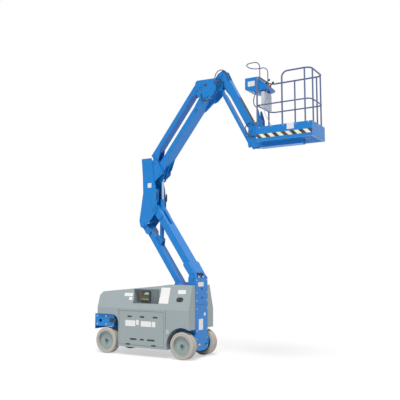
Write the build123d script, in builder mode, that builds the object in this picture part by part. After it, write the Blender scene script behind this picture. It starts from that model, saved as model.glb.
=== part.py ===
"""Articulating boom lift, narrow electric machine with two parallel-bar risers, a boom and a platform.

X runs from the steered axle (-X) to the platform (+X), Y across, Z up from the ground, millimetres.
The origin is on the ground, midway along the machine's overall length and on its centre plane.
"""

from build123d import *
from math import cos, hypot, radians, sin, tan
import os

os.makedirs("parts", exist_ok=True)

# Wheels and axles
wheel_radius = 235
tyre_width = 150
rim_radius = 172
wheel_track = 720
wheelbase = 1660
stub_radius = 28
kingpin_y = 300
steer_axle_half = 120
running_gap = 0.1
touch_gap = 0.3
seat_gap = 0.2
hub_radius = 50
hub_reach = 45
disc_face = 32
disc_plate = 12

# Chassis, covers and mast
front_overhang = 290
cover_front_gap = 80
cover_half_width = 430
slot_half_width = 205
cover_rear_x = 150
cover_wall = 8
cover_bottom_z = 150
facet_z = 840
facet_top_y = 300
hood_rear_z = 1270
hood_front_z = 1130
front_arch_z = 720
front_arch_gap = 285
arch_corner = 150
rear_arch_radius = 310
spine_half_width = 150
spine_bottom_z = 200
spine_top_z = 450
plate = 12
block_half_width = 400
block_bottom_z = 488
block_top_z = 716
tie_hole_radius = 30
mast_half_width = 203
mast_end_x = 162
mast_bottom_z = 110
mast_top_z = 1465
pin_radius = 25
side_clearance = 5

# Lower riser
lower_foot_x = 90
lower_foot_z = 1420
lower_angle = 124.2
lower_length = 1548
lower_depth = 125
lower_half_width = 130
link_drop_x = -235
link_drop_z = -320
lower_link_depth = 100
lower_link_half_width = 90
tube_wall = 6

# Mid link and upper riser
mid_half_width = 162
mid_plate = 12
upper_foot_dx = 115
upper_foot_dz = 660
upper_angle = 52
upper_length = 1660
upper_depth = 100
upper_half_width = 120
upper_tube_offset = 70
upper_link_dx = -120
upper_link_dz = 200
upper_link_depth = 85
upper_link_half_width = 85
upper_link_offset = 130

# Elbow and boom
elbow_half_width = 162
nose_half_width = 45
nose_plate = 12
boom_pivot_dx = 243
boom_pivot_dz = 362
boom_angle = -61.5
boom_length = 1230
boom_half_width = 65
boom_tube_low = 32
boom_tube_high = 105
boom_cheek_low = -30
level_dx = -15
level_dz = -245
level_half_width = 28
level_wide_half = 62
level_wide_start = 130
level_depth = 50
level_wall = 4
level_pin_radius = 16

# Cylinders
riser_cylinder_along = 1140
riser_cylinder_offset = -100
riser_lug_along = -119
riser_lug_offset = -55
riser_barrel_radius = 40
riser_barrel_length = 760
riser_rod_radius = 28
boom_cylinder_dx = -10
boom_cylinder_dz = -130
boom_lug_along = 550
boom_lug_offset = -10
boom_barrel_radius = 22
boom_barrel_length = 345
boom_rod_radius = 13

# Platform
platform_gap = 213
platform_length = 985
platform_half_width = 310
floor_drop = 209
floor_plate = 5
floor_frame = 48
toe_height = 195
toe_plate = 4
rail_radius = 14
post_radius = 13
mid_rail_radius = 12
rail_height = 1100
mid_rail_height = 570
corner_radius = 100
bracket_half_width = 82


def polar(origin, angle, distance, offset=0):
    """Point at a distance along an arm from origin and at an offset to its left, as (x, z)."""
    c = cos(radians(angle))
    s = sin(radians(angle))
    return (origin[0] + distance * c - offset * s, origin[1] + distance * s + offset * c)


def shifted(point, dx, dz):
    """Point moved by dx and dz."""
    return (point[0] + dx, point[1] + dz)


# Pivots, first counted from the rear axle
lower_reach = polar((0, 0), lower_angle, lower_length)
upper_reach = polar((0, 0), upper_angle, upper_length)
boom_reach = polar((0, 0), boom_angle, boom_length)
boom_end_x = lower_foot_x + lower_reach[0] + upper_foot_dx + upper_reach[0] + boom_pivot_dx + boom_reach[0]
platform_end_x = boom_end_x + platform_gap + platform_length
rear_axle_x = (wheelbase + front_overhang - platform_end_x) / 2
front_axle_x = rear_axle_x - wheelbase
front_x = front_axle_x - front_overhang
front_cover_x = front_x + cover_front_gap
rear_cover_x = rear_axle_x + cover_rear_x
front_arch_x = front_axle_x + front_arch_gap
mast_x = rear_axle_x + mast_end_x
lower_foot = (rear_axle_x + lower_foot_x, lower_foot_z)
lower_head = polar(lower_foot, lower_angle, lower_length)
link_foot = shifted(lower_foot, link_drop_x, link_drop_z)
link_head = shifted(lower_head, link_drop_x, link_drop_z)
upper_foot = shifted(lower_head, upper_foot_dx, upper_foot_dz)
upper_head = polar(upper_foot, upper_angle, upper_length)
upper_link_foot = shifted(upper_foot, upper_link_dx, upper_link_dz)
upper_link_head = shifted(upper_head, upper_link_dx, upper_link_dz)
boom_pivot = shifted(upper_head, boom_pivot_dx, boom_pivot_dz)
boom_end = polar(boom_pivot, boom_angle, boom_length)
level_foot = shifted(boom_pivot, level_dx, level_dz)
level_head = shifted(boom_end, level_dx, level_dz)
riser_barrel_foot = polar(link_foot, lower_angle, riser_cylinder_along, riser_cylinder_offset)
riser_rod_eye = polar(upper_foot, upper_angle, riser_lug_along, riser_lug_offset)
boom_barrel_foot = shifted(boom_pivot, boom_cylinder_dx, boom_cylinder_dz)
boom_rod_eye = polar(boom_pivot, boom_angle, boom_lug_along, boom_lug_offset)
platform_x = boom_end[0] + platform_gap
platform_end = platform_x + platform_length
floor_z = boom_end[1] - floor_drop


def side(y):
    """Plane at Y = y drawn with X to the right and Z up, extruded towards -Y."""
    return Plane.XZ.offset(-y)


def arm_plane(origin, angle, y=0):
    """Plane at Y = y whose X runs along an arm that starts at origin."""
    c = cos(radians(angle))
    s = sin(radians(angle))
    return Plane(origin=(origin[0], y, origin[1]), x_dir=(c, 0, s), z_dir=(0, -1, 0))


def disc(point, radius, y_low, y_high, mode=Mode.ADD):
    """Round bar or hole across the machine, centred on point, from y_low to y_high."""
    with BuildSketch(side(y_high)) as circle:
        with Locations(point):
            Circle(radius)
    extrude(circle.sketch, amount=y_high - y_low, mode=mode)


def both_discs(point, radius, y_low, y_high, mode=Mode.ADD):
    """The same disc on the near and the far side."""
    disc(point, radius, y_low, y_high, mode)
    disc(point, radius, -y_high, -y_low, mode)


def slab(points, y_low, y_high, mode=Mode.ADD):
    """Plate with the outline of points, from y_low to y_high."""
    with BuildSketch(side(y_high)) as outline:
        Polygon(*points, align=None)
    extrude(outline.sketch, amount=y_high - y_low, mode=mode)


def both_slabs(points, y_low, y_high, mode=Mode.ADD):
    """The same plate on the near and the far side."""
    slab(points, y_low, y_high, mode)
    slab(points, -y_high, -y_low, mode)


def block(low, high, mode=Mode.ADD):
    """Square-edged plate or bar between two corners."""
    with BuildSketch(Plane.XY.offset(low[2])) as foot:
        with Locations(((low[0] + high[0]) / 2, (low[1] + high[1]) / 2)):
            Rectangle(high[0] - low[0], high[1] - low[1])
    extrude(foot.sketch, amount=high[2] - low[2], mode=mode)


def box_tube(origin, angle, start, end, low, high, half_width, wall, mode=Mode.ADD):
    """Box-section tube along an arm, between start and end, from offset low to high."""
    plane = arm_plane(origin, angle)
    with BuildSketch(plane) as outer:
        with Locations(((start + end) / 2, (low + high) / 2)):
            Rectangle(end - start, high - low)
    extrude(outer.sketch, amount=half_width, both=True, mode=mode)
    with BuildSketch(plane) as inner:
        with Locations(((start + end) / 2, (low + high) / 2)):
            Rectangle(end - start - 2 * wall, high - low - 2 * wall)
    extrude(inner.sketch, amount=half_width - wall, both=True, mode=Mode.SUBTRACT)


def lug(origin, angle, circles, y_low, y_high, mode=Mode.ADD):
    """Rounded plate around several circles (distance, offset, radius) of an arm, on both sides."""
    for near in (y_high, -y_low):
        with BuildSketch(arm_plane(origin, angle, near)) as outline:
            for distance, offset_by, radius in circles:
                with Locations((distance, offset_by)):
                    Circle(radius)
            make_hull()
        extrude(outline.sketch, amount=y_high - y_low, mode=mode)


def hose(points, radius):
    """Round hose through points, with the widest bend that each corner has room for."""
    stops = [Vector(*point) for point in points]
    bends = []
    for before, corner, after in zip(stops, stops[1:], stops[2:]):
        run_in = corner - before
        run_out = after - corner
        half_turn = radians(run_in.get_angle(run_out)) / 2
        bends.append(0.45 * min(run_in.length, run_out.length) / tan(half_turn))
    with BuildPart() as made:
        with BuildLine() as path:
            FilletPolyline(*points, radius=bends)
        with BuildSketch(Plane(origin=path.line @ 0, z_dir=path.line % 0)):
            Circle(radius)
        sweep()
    return made.part


def wheel_profile():
    """Dished wheel in (distance across, radius), outwards positive: rim, disc, hub."""
    return [
        (-tyre_width / 2 + 10, rim_radius),
        (tyre_width / 2 - 15, rim_radius),
        (tyre_width / 2 - 15, rim_radius - 12),
        (disc_face, rim_radius - 14),
        (disc_face, hub_radius),
        (hub_reach, hub_radius - 6),
        (hub_reach, 0),
        (hub_reach - 12, 0),
        (hub_reach - 12, stub_radius + running_gap),
        (disc_face - disc_plate - 20, stub_radius + running_gap),
        (disc_face - disc_plate - 20, hub_radius),
        (disc_face - disc_plate, hub_radius),
        (disc_face - disc_plate, rim_radius - 14),
        (-tyre_width / 2 + 10, rim_radius - 12),
    ]


def wheel(axle_x, sign):
    """One wheel, whose outer side faces sign along Y."""
    plane = Plane(
        origin=(axle_x, sign * wheel_track / 2, wheel_radius), x_dir=(0, sign, 0), z_dir=(sign, 0, 0)
    )
    with BuildPart() as made:
        with BuildSketch(plane):
            Polygon(*wheel_profile(), align=None)
        revolve(axis=Axis((axle_x, 0, wheel_radius), (0, 1, 0)))
    return made.part


def tyre(axle_x, sign):
    """One solid rubber tyre with rounded shoulders."""
    plane = Plane(
        origin=(axle_x, sign * wheel_track / 2, wheel_radius), x_dir=(0, sign, 0), z_dir=(sign, 0, 0)
    )
    with BuildPart() as made:
        with BuildSketch(plane) as section:
            with Locations((0, (wheel_radius + rim_radius) / 2)):
                Rectangle(tyre_width, wheel_radius - rim_radius)
            fillet(section.vertices().group_by(Axis.Z)[-1], 16)
        revolve(axis=Axis((axle_x, 0, wheel_radius), (0, 1, 0)))
    return made.part


# Wheels and tyres
wheels = {
    "front_wheel_near": (front_axle_x, -1),
    "front_wheel_far": (front_axle_x, 1),
    "rear_wheel_near": (rear_axle_x, -1),
    "rear_wheel_far": (rear_axle_x, 1),
}
for wheel_name, (axle_x, wheel_sign) in wheels.items():
    with BuildPart() as wheel_part:
        add(wheel(axle_x, wheel_sign))
    wheel_part.part.label = wheel_name
    export_step(wheel_part.part, f"parts/{wheel_name}.step")
    tyre_name = wheel_name.replace("wheel", "tyre")
    with BuildPart() as tyre_part:
        add(tyre(axle_x, wheel_sign))
    tyre_part.part.label = tyre_name
    export_step(tyre_part.part, f"parts/{tyre_name}.step")

# Rear axle: a round beam through the mast, with a stub at each end
axle_beam_radius = 45
stub_end = wheel_track / 2 + hub_reach - 14
rear_beam_half = wheel_track / 2 - tyre_width / 2 - 8
with BuildPart() as rear_axle:
    disc((rear_axle_x, wheel_radius), axle_beam_radius, -rear_beam_half, rear_beam_half)
    disc((rear_axle_x, wheel_radius), stub_radius, -stub_end, stub_end)
rear_axle.part.label = "rear_axle"
export_step(rear_axle.part, "parts/rear_axle.step")

# Chassis frame: spine, cross block over the steered wheels, steering beam
spine_front_x = front_axle_x - 100
spine_rear_x = rear_axle_x - 295
beam_half_depth = 55
kingpin_radius = 16
block_rear_x = front_arch_x - arch_corner + 30
fork_gap = 62
fork_plate = 20
with BuildPart() as chassis_frame:
    block((front_arch_x, -spine_half_width, spine_bottom_z), (spine_rear_x, spine_half_width, spine_top_z))
    block((spine_front_x, -steer_axle_half, wheel_radius), (front_arch_x, steer_axle_half, block_bottom_z))
    block(
        (front_axle_x - beam_half_depth, -steer_axle_half, spine_bottom_z - 40),
        (front_axle_x + beam_half_depth, steer_axle_half, wheel_radius),
    )
    for low in (wheel_radius - fork_gap - fork_plate, wheel_radius + fork_gap):
        block(
            (front_axle_x - kingpin_radius * 2, -kingpin_y - 32, low),
            (front_axle_x + kingpin_radius * 2, kingpin_y + 32, low + fork_plate),
        )
    block((front_x, -block_half_width, block_bottom_z), (block_rear_x, block_half_width, block_top_z))
    block(
        (front_x + plate, -block_half_width + plate, block_bottom_z + plate),
        (block_rear_x - plate, block_half_width - plate, block_top_z - plate),
        mode=Mode.SUBTRACT,
    )
    block((front_x, -block_half_width, block_bottom_z - 56), (front_x + plate, block_half_width, block_top_z))
    both_discs(
        (front_x + 130, block_bottom_z + 100),
        tie_hole_radius,
        block_half_width - 2 * plate,
        block_half_width + plate,
        Mode.SUBTRACT,
    )
chassis_frame.part.label = "chassis_frame"
export_step(chassis_frame.part, "parts/chassis_frame.step")

# Steering knuckles between the fork plates, each with its stub axle
for knuckle_name, knuckle_sign in (("steering_knuckle_near", -1), ("steering_knuckle_far", 1)):
    with BuildPart() as knuckle:
        with BuildSketch(Plane.XY.offset(wheel_radius - fork_gap + 2)):
            with Locations((front_axle_x, knuckle_sign * kingpin_y)):
                Circle(30)
        extrude(amount=2 * (fork_gap - 2))
        stub = sorted((knuckle_sign * kingpin_y, knuckle_sign * stub_end))
        disc((front_axle_x, wheel_radius), stub_radius, stub[0], stub[1])
    knuckle.part.label = knuckle_name
    export_step(knuckle.part, f"parts/{knuckle_name}.step")

# Mast: two side plates, an end plate and the pins of the lower riser
mast_plate = 15
mast_inner = mast_half_width - mast_plate
bulge_depth = 60
bulge_y = 85
bulge_z = 295
bulge_radius = 165
bulkhead_half = 110
bulkhead_depth = 14
bulkhead_height = 16
hose_foot_z = mast_top_z - 60
mast_outline = [
    (mast_x, mast_bottom_z + 40),
    (mast_x, mast_top_z - 60),
    (mast_x - 50, mast_top_z),
    (lower_foot[0] - 60, mast_top_z),
    (lower_foot[0] - 90, mast_top_z - 60),
    (lower_foot[0] - 95, link_foot[1] + 110),
    (link_foot[0] - 60, link_foot[1] + 60),
    (link_foot[0] - 60, spine_top_z + 200),
    (spine_rear_x, spine_top_z),
    (spine_rear_x, spine_bottom_z),
    (rear_axle_x - 120, mast_bottom_z),
    (mast_x - 60, mast_bottom_z),
]
with BuildPart() as mast:
    both_slabs(mast_outline, mast_inner, mast_half_width)
    block((mast_x - plate, -mast_inner, mast_bottom_z + 40), (mast_x, mast_inner, mast_top_z - 60))
    block((spine_rear_x, -mast_inner, spine_bottom_z), (rear_axle_x - 80, mast_inner, spine_bottom_z + plate))
    block(
        (spine_rear_x, -mast_inner, spine_bottom_z + plate),
        (spine_rear_x + plate, mast_inner, spine_top_z),
    )
    with BuildSketch(Plane.YZ.offset(mast_x - bulge_depth)) as bulge:
        for centre_y in (-bulge_y, bulge_y):
            with Locations((centre_y, bulge_z)):
                Circle(bulge_radius)
        make_hull()
    extrude(bulge.sketch, amount=bulge_depth)
    block(
        (mast_x - plate - bulkhead_depth, -bulkhead_half, hose_foot_z - bulkhead_height),
        (mast_x - plate, bulkhead_half, hose_foot_z),
    )
    disc(lower_foot, pin_radius, -mast_half_width - 6, mast_half_width + 6)
    disc(link_foot, pin_radius, -mast_inner, mast_inner)
    disc(
        (rear_axle_x, wheel_radius),
        axle_beam_radius + touch_gap,
        -mast_half_width,
        mast_half_width,
        Mode.SUBTRACT,
    )
mast.part.label = "mast"
export_step(mast.part, "parts/mast.step")

# Side covers: moulded shells with wheel arches and a sloping upper facet
hood_points = [
    (rear_cover_x, hood_rear_z),
    (rear_cover_x - 500, hood_rear_z + 6),
    (rear_cover_x - 730, hood_rear_z - 24),
    (front_cover_x + 70, hood_front_z),
    (front_cover_x, hood_front_z - 70),
]
arch_low_x = rear_axle_x - (rear_arch_radius**2 - (wheel_radius - cover_bottom_z) ** 2) ** 0.5
arch_end_z = wheel_radius + (rear_arch_radius**2 - cover_rear_x**2) ** 0.5
arch_mid = polar((rear_axle_x, wheel_radius), 110, rear_arch_radius)


def cover_sketch(inset):
    """Side view of a cover, drawn inset by a wall's thickness."""
    with BuildSketch(side(cover_half_width - inset)) as view:
        with BuildLine():
            Line((front_arch_x, cover_bottom_z), (arch_low_x, cover_bottom_z))
            ThreePointArc((arch_low_x, cover_bottom_z), arch_mid, (rear_cover_x, arch_end_z))
            Polyline((rear_cover_x, arch_end_z), *hood_points, (front_cover_x, front_arch_z))
            Line((front_cover_x, front_arch_z), (front_arch_x - arch_corner, front_arch_z))
            RadiusArc(
                (front_arch_x - arch_corner, front_arch_z),
                (front_arch_x, front_arch_z - arch_corner),
                arch_corner,
            )
            Line((front_arch_x, front_arch_z - arch_corner), (front_arch_x, cover_bottom_z))
        make_face()
        if inset:
            offset(amount=-inset, kind=Kind.INTERSECTION, mode=Mode.REPLACE)
    return view.sketch


def facet_wedge(inset):
    """Region outside the sloping upper facet of the far cover, in (Y, Z), drawn inset."""
    slope = (cover_half_width - facet_top_y) / (hood_rear_z - facet_z)
    top = hood_rear_z + 200
    y_low = cover_half_width - inset
    y_top = y_low - slope * (top - facet_z)
    y_out = y_low + 300
    return [(y_low, facet_z), (y_top, top), (y_out, top), (y_out, facet_z)]


with BuildPart() as cover_blank:
    extrude(cover_sketch(0), amount=cover_half_width - slot_half_width)
    with BuildSketch(Plane.YZ.offset(front_x - 50)):
        Polygon(*facet_wedge(0), align=None)
    extrude(amount=platform_end - front_x, mode=Mode.SUBTRACT)
with BuildPart() as cover_inside:
    extrude(cover_sketch(cover_wall), amount=cover_half_width - slot_half_width - 2 * cover_wall)
    with BuildSketch(Plane.YZ.offset(front_x - 50)):
        Polygon(*facet_wedge(cover_wall), align=None)
    extrude(amount=platform_end - front_x, mode=Mode.SUBTRACT)
door_front_x = front_arch_x + 15
door_rear_x = rear_axle_x - 365
door_low_z = 190
door_high_z = 800
door_gap = 5
with BuildPart() as side_cover_far:
    add(cover_blank.part)
    add(cover_inside.part, mode=Mode.SUBTRACT)
    block(
        (front_arch_x + cover_wall, slot_half_width + cover_wall, cover_bottom_z - 10),
        (arch_low_x - cover_wall, cover_half_width - cover_wall, cover_bottom_z + cover_wall + 5),
        mode=Mode.SUBTRACT,
    )
    block(
        (door_front_x, cover_half_width - 2 * cover_wall, door_low_z),
        (door_rear_x, cover_half_width + cover_wall, door_high_z),
        mode=Mode.SUBTRACT,
    )
side_cover_far.part.label = "side_cover_far"
export_step(side_cover_far.part, "parts/side_cover_far.step")

panel_front_x = rear_axle_x - 1060
panel_rear_x = rear_axle_x - 500
panel_low_z = 930
panel_high_z = 1190
panel_depth = 70
with BuildPart() as side_cover_near:
    mirror(side_cover_far.part, about=Plane.XZ)
    block(
        (panel_front_x - cover_wall, -cover_half_width + panel_depth - 10, panel_low_z - cover_wall),
        (panel_rear_x + cover_wall, -slot_half_width - cover_wall, panel_high_z + 5),
    )
    block(
        (panel_front_x, -cover_half_width - 10, panel_low_z),
        (panel_rear_x, -slot_half_width - 3 * cover_wall, panel_high_z),
        mode=Mode.SUBTRACT,
    )
side_cover_near.part.label = "side_cover_near"
export_step(side_cover_near.part, "parts/side_cover_near.step")

control_x = panel_front_x + 70
control_depth = 40
with BuildPart() as ground_controls:
    block(
        (control_x, -slot_half_width - 3 * cover_wall - control_depth, panel_low_z + 15),
        (control_x + 200, -slot_half_width - 3 * cover_wall, panel_high_z - 50),
    )
ground_controls.part.label = "ground_controls"
export_step(ground_controls.part, "parts/ground_controls.step")

for door_name, door_sign in (("battery_door_near", -1), ("battery_door_far", 1)):
    door_y = sorted((door_sign * (cover_half_width - cover_wall), door_sign * cover_half_width))
    with BuildPart() as door:
        block(
            (door_front_x + door_gap, door_y[0], door_low_z + door_gap),
            (door_rear_x - door_gap, door_y[1], door_high_z - door_gap),
        )
    door.part.label = door_name
    export_step(door.part, f"parts/{door_name}.step")

# Battery packs: one plain block in each cover, against the spine
pack_half_width = cover_half_width - 40
for pack_name, pack_sign in (("battery_pack_near", -1), ("battery_pack_far", 1)):
    pack_y = sorted((pack_sign * (slot_half_width + cover_wall + 5), pack_sign * pack_half_width))
    with BuildPart() as pack:
        block((door_front_x + 30, pack_y[0], cover_bottom_z + 30), (door_rear_x - 30, pack_y[1], 620))
    pack.part.label = pack_name
    export_step(pack.part, f"parts/{pack_name}.step")

# Slot tray between the covers, over the spine
tray_z = 960
with BuildPart() as slot_tray:
    block(
        (front_cover_x, -slot_half_width, tray_z),
        (link_foot[0] - 80, slot_half_width, tray_z + cover_wall),
    )
    block(
        (front_cover_x, -slot_half_width, front_arch_z), (front_cover_x + cover_wall, slot_half_width, tray_z)
    )
slot_tray.part.label = "slot_tray"
export_step(slot_tray.part, "parts/slot_tray.step")

# Lower arm: box tube, forked at its head around the riser cylinder
fork_start = 1130
fork_half_gap = riser_barrel_radius + 8
arm_boss_half = mid_half_width - mid_plate - side_clearance
with BuildPart() as lower_arm:
    box_tube(
        lower_foot,
        lower_angle,
        40,
        lower_length,
        -lower_depth / 2,
        lower_depth / 2,
        lower_half_width,
        tube_wall,
    )
    foot_circles = [(0, 0, 54), (260, 0, 62)]
    head_circles = [(lower_length, 0, 62), (lower_length - 200, 0, 62)]
    lug(lower_foot, lower_angle, foot_circles, lower_half_width - plate, mast_inner - side_clearance)
    lug(lower_foot, lower_angle, head_circles, fork_half_gap, arm_boss_half)
    with BuildSketch(arm_plane(lower_foot, lower_angle)) as fork_slot:
        with Locations(((fork_start + lower_length + 100) / 2, 0)):
            Rectangle(lower_length + 100 - fork_start, lower_depth + 20)
    extrude(fork_slot.sketch, amount=fork_half_gap, both=True, mode=Mode.SUBTRACT)
    with BuildSketch(arm_plane(lower_foot, lower_angle)) as liners:
        with Locations(((fork_start + lower_length) / 2, 0)):
            Rectangle(lower_length - fork_start, lower_depth)
    extrude(liners.sketch, amount=fork_half_gap + tube_wall, both=True)
    extrude(fork_slot.sketch, amount=fork_half_gap, both=True, mode=Mode.SUBTRACT)
    disc(lower_foot, pin_radius + running_gap, -mast_inner, mast_inner, Mode.SUBTRACT)
    both_discs(lower_head, pin_radius + running_gap, fork_half_gap - 1, arm_boss_half + 1, Mode.SUBTRACT)
lower_arm.part.label = "lower_arm"
export_step(lower_arm.part, "parts/lower_arm.step")

# Lower link: lighter box tube below the arm, with the ears of the riser cylinder
ear_half_gap = riser_barrel_radius + side_clearance
with BuildPart() as lower_link:
    box_tube(
        link_foot,
        lower_angle,
        0,
        lower_length,
        -lower_link_depth / 2,
        lower_link_depth / 2,
        lower_link_half_width,
        tube_wall,
    )
    link_circles = [(0, 0, 50), (200, 0, 50)]
    lug(link_foot, lower_angle, link_circles, lower_link_half_width - plate, mast_inner - side_clearance)
    lug(
        link_foot,
        lower_angle,
        [(lower_length, 0, 50), (lower_length - 160, 0, 50)],
        lower_link_half_width - plate,
        arm_boss_half,
    )
    lug(
        link_foot,
        lower_angle,
        [
            (riser_cylinder_along, riser_cylinder_offset, 40),
            (riser_cylinder_along - 110, -30, 20),
            (riser_cylinder_along + 110, -30, 20),
        ],
        ear_half_gap,
        ear_half_gap + plate,
    )
    disc(riser_barrel_foot, pin_radius, -ear_half_gap - plate, ear_half_gap + plate)
    disc(link_foot, pin_radius + running_gap, -mast_inner, mast_inner, Mode.SUBTRACT)
    disc(link_head, pin_radius + running_gap, -arm_boss_half - 1, arm_boss_half + 1, Mode.SUBTRACT)
lower_link.part.label = "lower_link"
export_step(lower_link.part, "parts/lower_link.step")

# Mid link: two shaped side plates, a front web, a rear web and the pins of both risers
mid_inner = mid_half_width - mid_plate
mid_points = [
    shifted(lower_head, -290, 938),
    shifted(lower_head, -60, 938),
    shifted(lower_head, -20, 610),
    shifted(lower_head, 34, 360),
    shifted(lower_head, 62, 120),
    shifted(lower_head, 62, -70),
    shifted(lower_head, -200, -376),
    shifted(lower_head, -300, -366),
    shifted(lower_head, -332, -246),
    shifted(lower_head, -250, 283),
    shifted(lower_head, -262, 600),
]
lug_plate = 24
with BuildPart() as mid_link:
    with BuildSketch(side(mid_half_width)) as mid_plate_view:
        Polygon(*mid_points, align=None)
        fillet(mid_plate_view.vertices(), 22)
    extrude(mid_plate_view.sketch, amount=mid_plate)
    mirror(about=Plane.XZ)
    for inner_y in (mid_inner - lug_plate, -mid_inner):
        with BuildSketch(side(inner_y + lug_plate)) as lug_view:
            for centre, radius in (
                (upper_foot, 60),
                (upper_link_foot, 52),
                (shifted(upper_foot, -230, 40), 60),
                (shifted(upper_foot, -180, -150), 60),
            ):
                with Locations(centre):
                    Circle(radius)
            make_hull()
        extrude(lug_view.sketch, amount=lug_plate)
    slab(
        [
            shifted(lower_head, -318, -246),
            shifted(lower_head, -238, 283),
            shifted(lower_head, -250, 600),
            shifted(lower_head, -276, 900),
            shifted(lower_head, -264, 900),
            shifted(lower_head, -238, 600),
            shifted(lower_head, -226, 283),
            shifted(lower_head, -306, -246),
        ],
        -mid_inner,
        mid_inner,
    )
    slab(
        [
            shifted(lower_head, 18, 90),
            shifted(lower_head, 30, 90),
            shifted(lower_head, 34, 345),
            shifted(lower_head, 22, 345),
        ],
        -mid_inner,
        mid_inner,
    )
    slab(
        [
            shifted(lower_head, 0, 80),
            shifted(lower_head, 50, 80),
            shifted(lower_head, 50, 360),
            shifted(lower_head, 0, 360),
        ],
        -fork_half_gap,
        fork_half_gap,
        Mode.SUBTRACT,
    )
    both_discs(lower_head, pin_radius, fork_half_gap + 6, mid_half_width + 5)
    disc(link_head, pin_radius, -mid_half_width - 5, mid_half_width + 5)
    disc(upper_link_foot, pin_radius, -mid_inner, mid_inner)
    disc(upper_foot, pin_radius, -mid_inner, mid_inner)
mid_link.part.label = "mid_link"
export_step(mid_link.part, "parts/mid_link.step")

# Upper arm: box tube above its pin line, with the lug of the riser cylinder behind its foot
upper_boss = mid_inner - lug_plate - side_clearance
elbow_plate = 12
elbow_inner = elbow_half_width - elbow_plate
upper_low = upper_tube_offset - upper_depth / 2
upper_high = upper_tube_offset + upper_depth / 2
rod_half_gap = riser_rod_radius + side_clearance + 5
with BuildPart() as upper_arm:
    box_tube(
        upper_foot, upper_angle, 90, upper_length - 60, upper_low, upper_high, upper_half_width, tube_wall
    )
    lug(
        upper_foot,
        upper_angle,
        [(0, 0, 55), (120, upper_tube_offset, 50), (300, upper_tube_offset, 50), (120, 0, 40)],
        upper_half_width - plate,
        upper_half_width,
    )
    lug(
        upper_foot,
        upper_angle,
        [(riser_lug_along, riser_lug_offset, 50), (0, 0, 55), (110, 30, 40)],
        rod_half_gap,
        rod_half_gap + plate,
    )
    disc(upper_foot, 40, -upper_boss, -rod_half_gap)
    disc(upper_foot, 40, rod_half_gap, upper_boss)
    lug(
        upper_foot,
        upper_angle,
        [(upper_length, 0, 50), (upper_length - 110, upper_tube_offset, 50), (upper_length - 260, 60, 50)],
        upper_half_width - plate,
        elbow_inner - side_clearance,
    )
    disc(upper_foot, pin_radius + running_gap, -mid_inner, mid_inner, Mode.SUBTRACT)
    disc(upper_head, pin_radius + running_gap, -elbow_inner, elbow_inner, Mode.SUBTRACT)
upper_arm.part.label = "upper_arm"
export_step(upper_arm.part, "parts/upper_arm.step")

# Upper link: lighter box tube above the arm
link_low = upper_link_offset - upper_link_depth / 2
link_high = upper_link_offset + upper_link_depth / 2
with BuildPart() as upper_link:
    box_tube(
        upper_link_foot,
        upper_angle,
        30,
        upper_length - 40,
        link_low,
        link_high,
        upper_link_half_width,
        tube_wall,
    )
    lug(
        upper_link_foot,
        upper_angle,
        [(0, 0, 44), (80, upper_link_offset, 42), (240, upper_link_offset, 42)],
        upper_link_half_width - plate,
        upper_link_half_width,
    )
    lug(
        upper_link_foot,
        upper_angle,
        [(upper_length, 0, 44), (upper_length - 90, upper_link_offset, 42), (upper_length - 240, 130, 42)],
        upper_link_half_width - plate,
        upper_link_half_width,
    )
    disc(upper_link_foot, 36, -upper_boss, upper_boss)
    disc(upper_link_head, 36, -elbow_inner + side_clearance, elbow_inner - side_clearance)
    disc(upper_link_foot, pin_radius + running_gap, -mid_inner, mid_inner, Mode.SUBTRACT)
    disc(upper_link_head, pin_radius + running_gap, -elbow_inner, elbow_inner, Mode.SUBTRACT)
upper_link.part.label = "upper_link"
export_step(upper_link.part, "parts/upper_link.step")

# Elbow: two side plates on the upper riser and a narrow nose for the boom
nose_inner = nose_half_width - nose_plate
elbow_points = [
    shifted(upper_head, -239, 270),
    shifted(upper_head, -200, 312),
    shifted(upper_head, 190, 300),
    shifted(upper_head, 200, 110),
    shifted(upper_head, 140, 20),
    shifted(upper_head, 60, -55),
    shifted(upper_head, -60, -80),
    shifted(upper_head, -190, 10),
]
with BuildPart() as elbow:
    both_slabs(elbow_points, elbow_inner, elbow_half_width)
    both_slabs(
        [
            shifted(boom_pivot, -60, 55),
            shifted(boom_pivot, 30, 55),
            shifted(boom_pivot, 60, 10),
            shifted(boom_pivot, 30, -200),
            shifted(level_foot, 35, -35),
            shifted(level_foot, -70, -35),
            shifted(boom_pivot, -150, -200),
            shifted(boom_pivot, -150, -60),
        ],
        nose_inner,
        nose_half_width,
    )
    block(
        (boom_pivot[0] - 150, -elbow_inner, boom_pivot[1] - 200),
        (boom_pivot[0] - 138, elbow_inner, boom_pivot[1] - 66),
    )
    disc(upper_head, pin_radius, -elbow_half_width - 5, elbow_half_width + 5)
    disc(upper_link_head, pin_radius, -elbow_half_width - 5, elbow_half_width + 5)
    disc(boom_pivot, pin_radius, -boom_half_width - 8, boom_half_width + 8)
    disc(level_foot, level_pin_radius, -nose_half_width, nose_half_width)
    disc(boom_barrel_foot, 12, -nose_half_width, nose_half_width)
elbow.part.label = "elbow"
export_step(elbow.part, "parts/elbow.step")

# Riser cylinder
riser_rod_reach = hypot(riser_rod_eye[0] - riser_barrel_foot[0], riser_rod_eye[1] - riser_barrel_foot[1])
riser_dir = (
    (riser_rod_eye[0] - riser_barrel_foot[0]) / riser_rod_reach,
    0,
    (riser_rod_eye[1] - riser_barrel_foot[1]) / riser_rod_reach,
)


def cylinder_plane(foot, direction, reach):
    """Plane across a hydraulic cylinder at reach from its foot pin."""
    return Plane(
        origin=(foot[0] + direction[0] * reach, 0, foot[1] + direction[2] * reach),
        x_dir=(0, 1, 0),
        z_dir=direction,
    )


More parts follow.
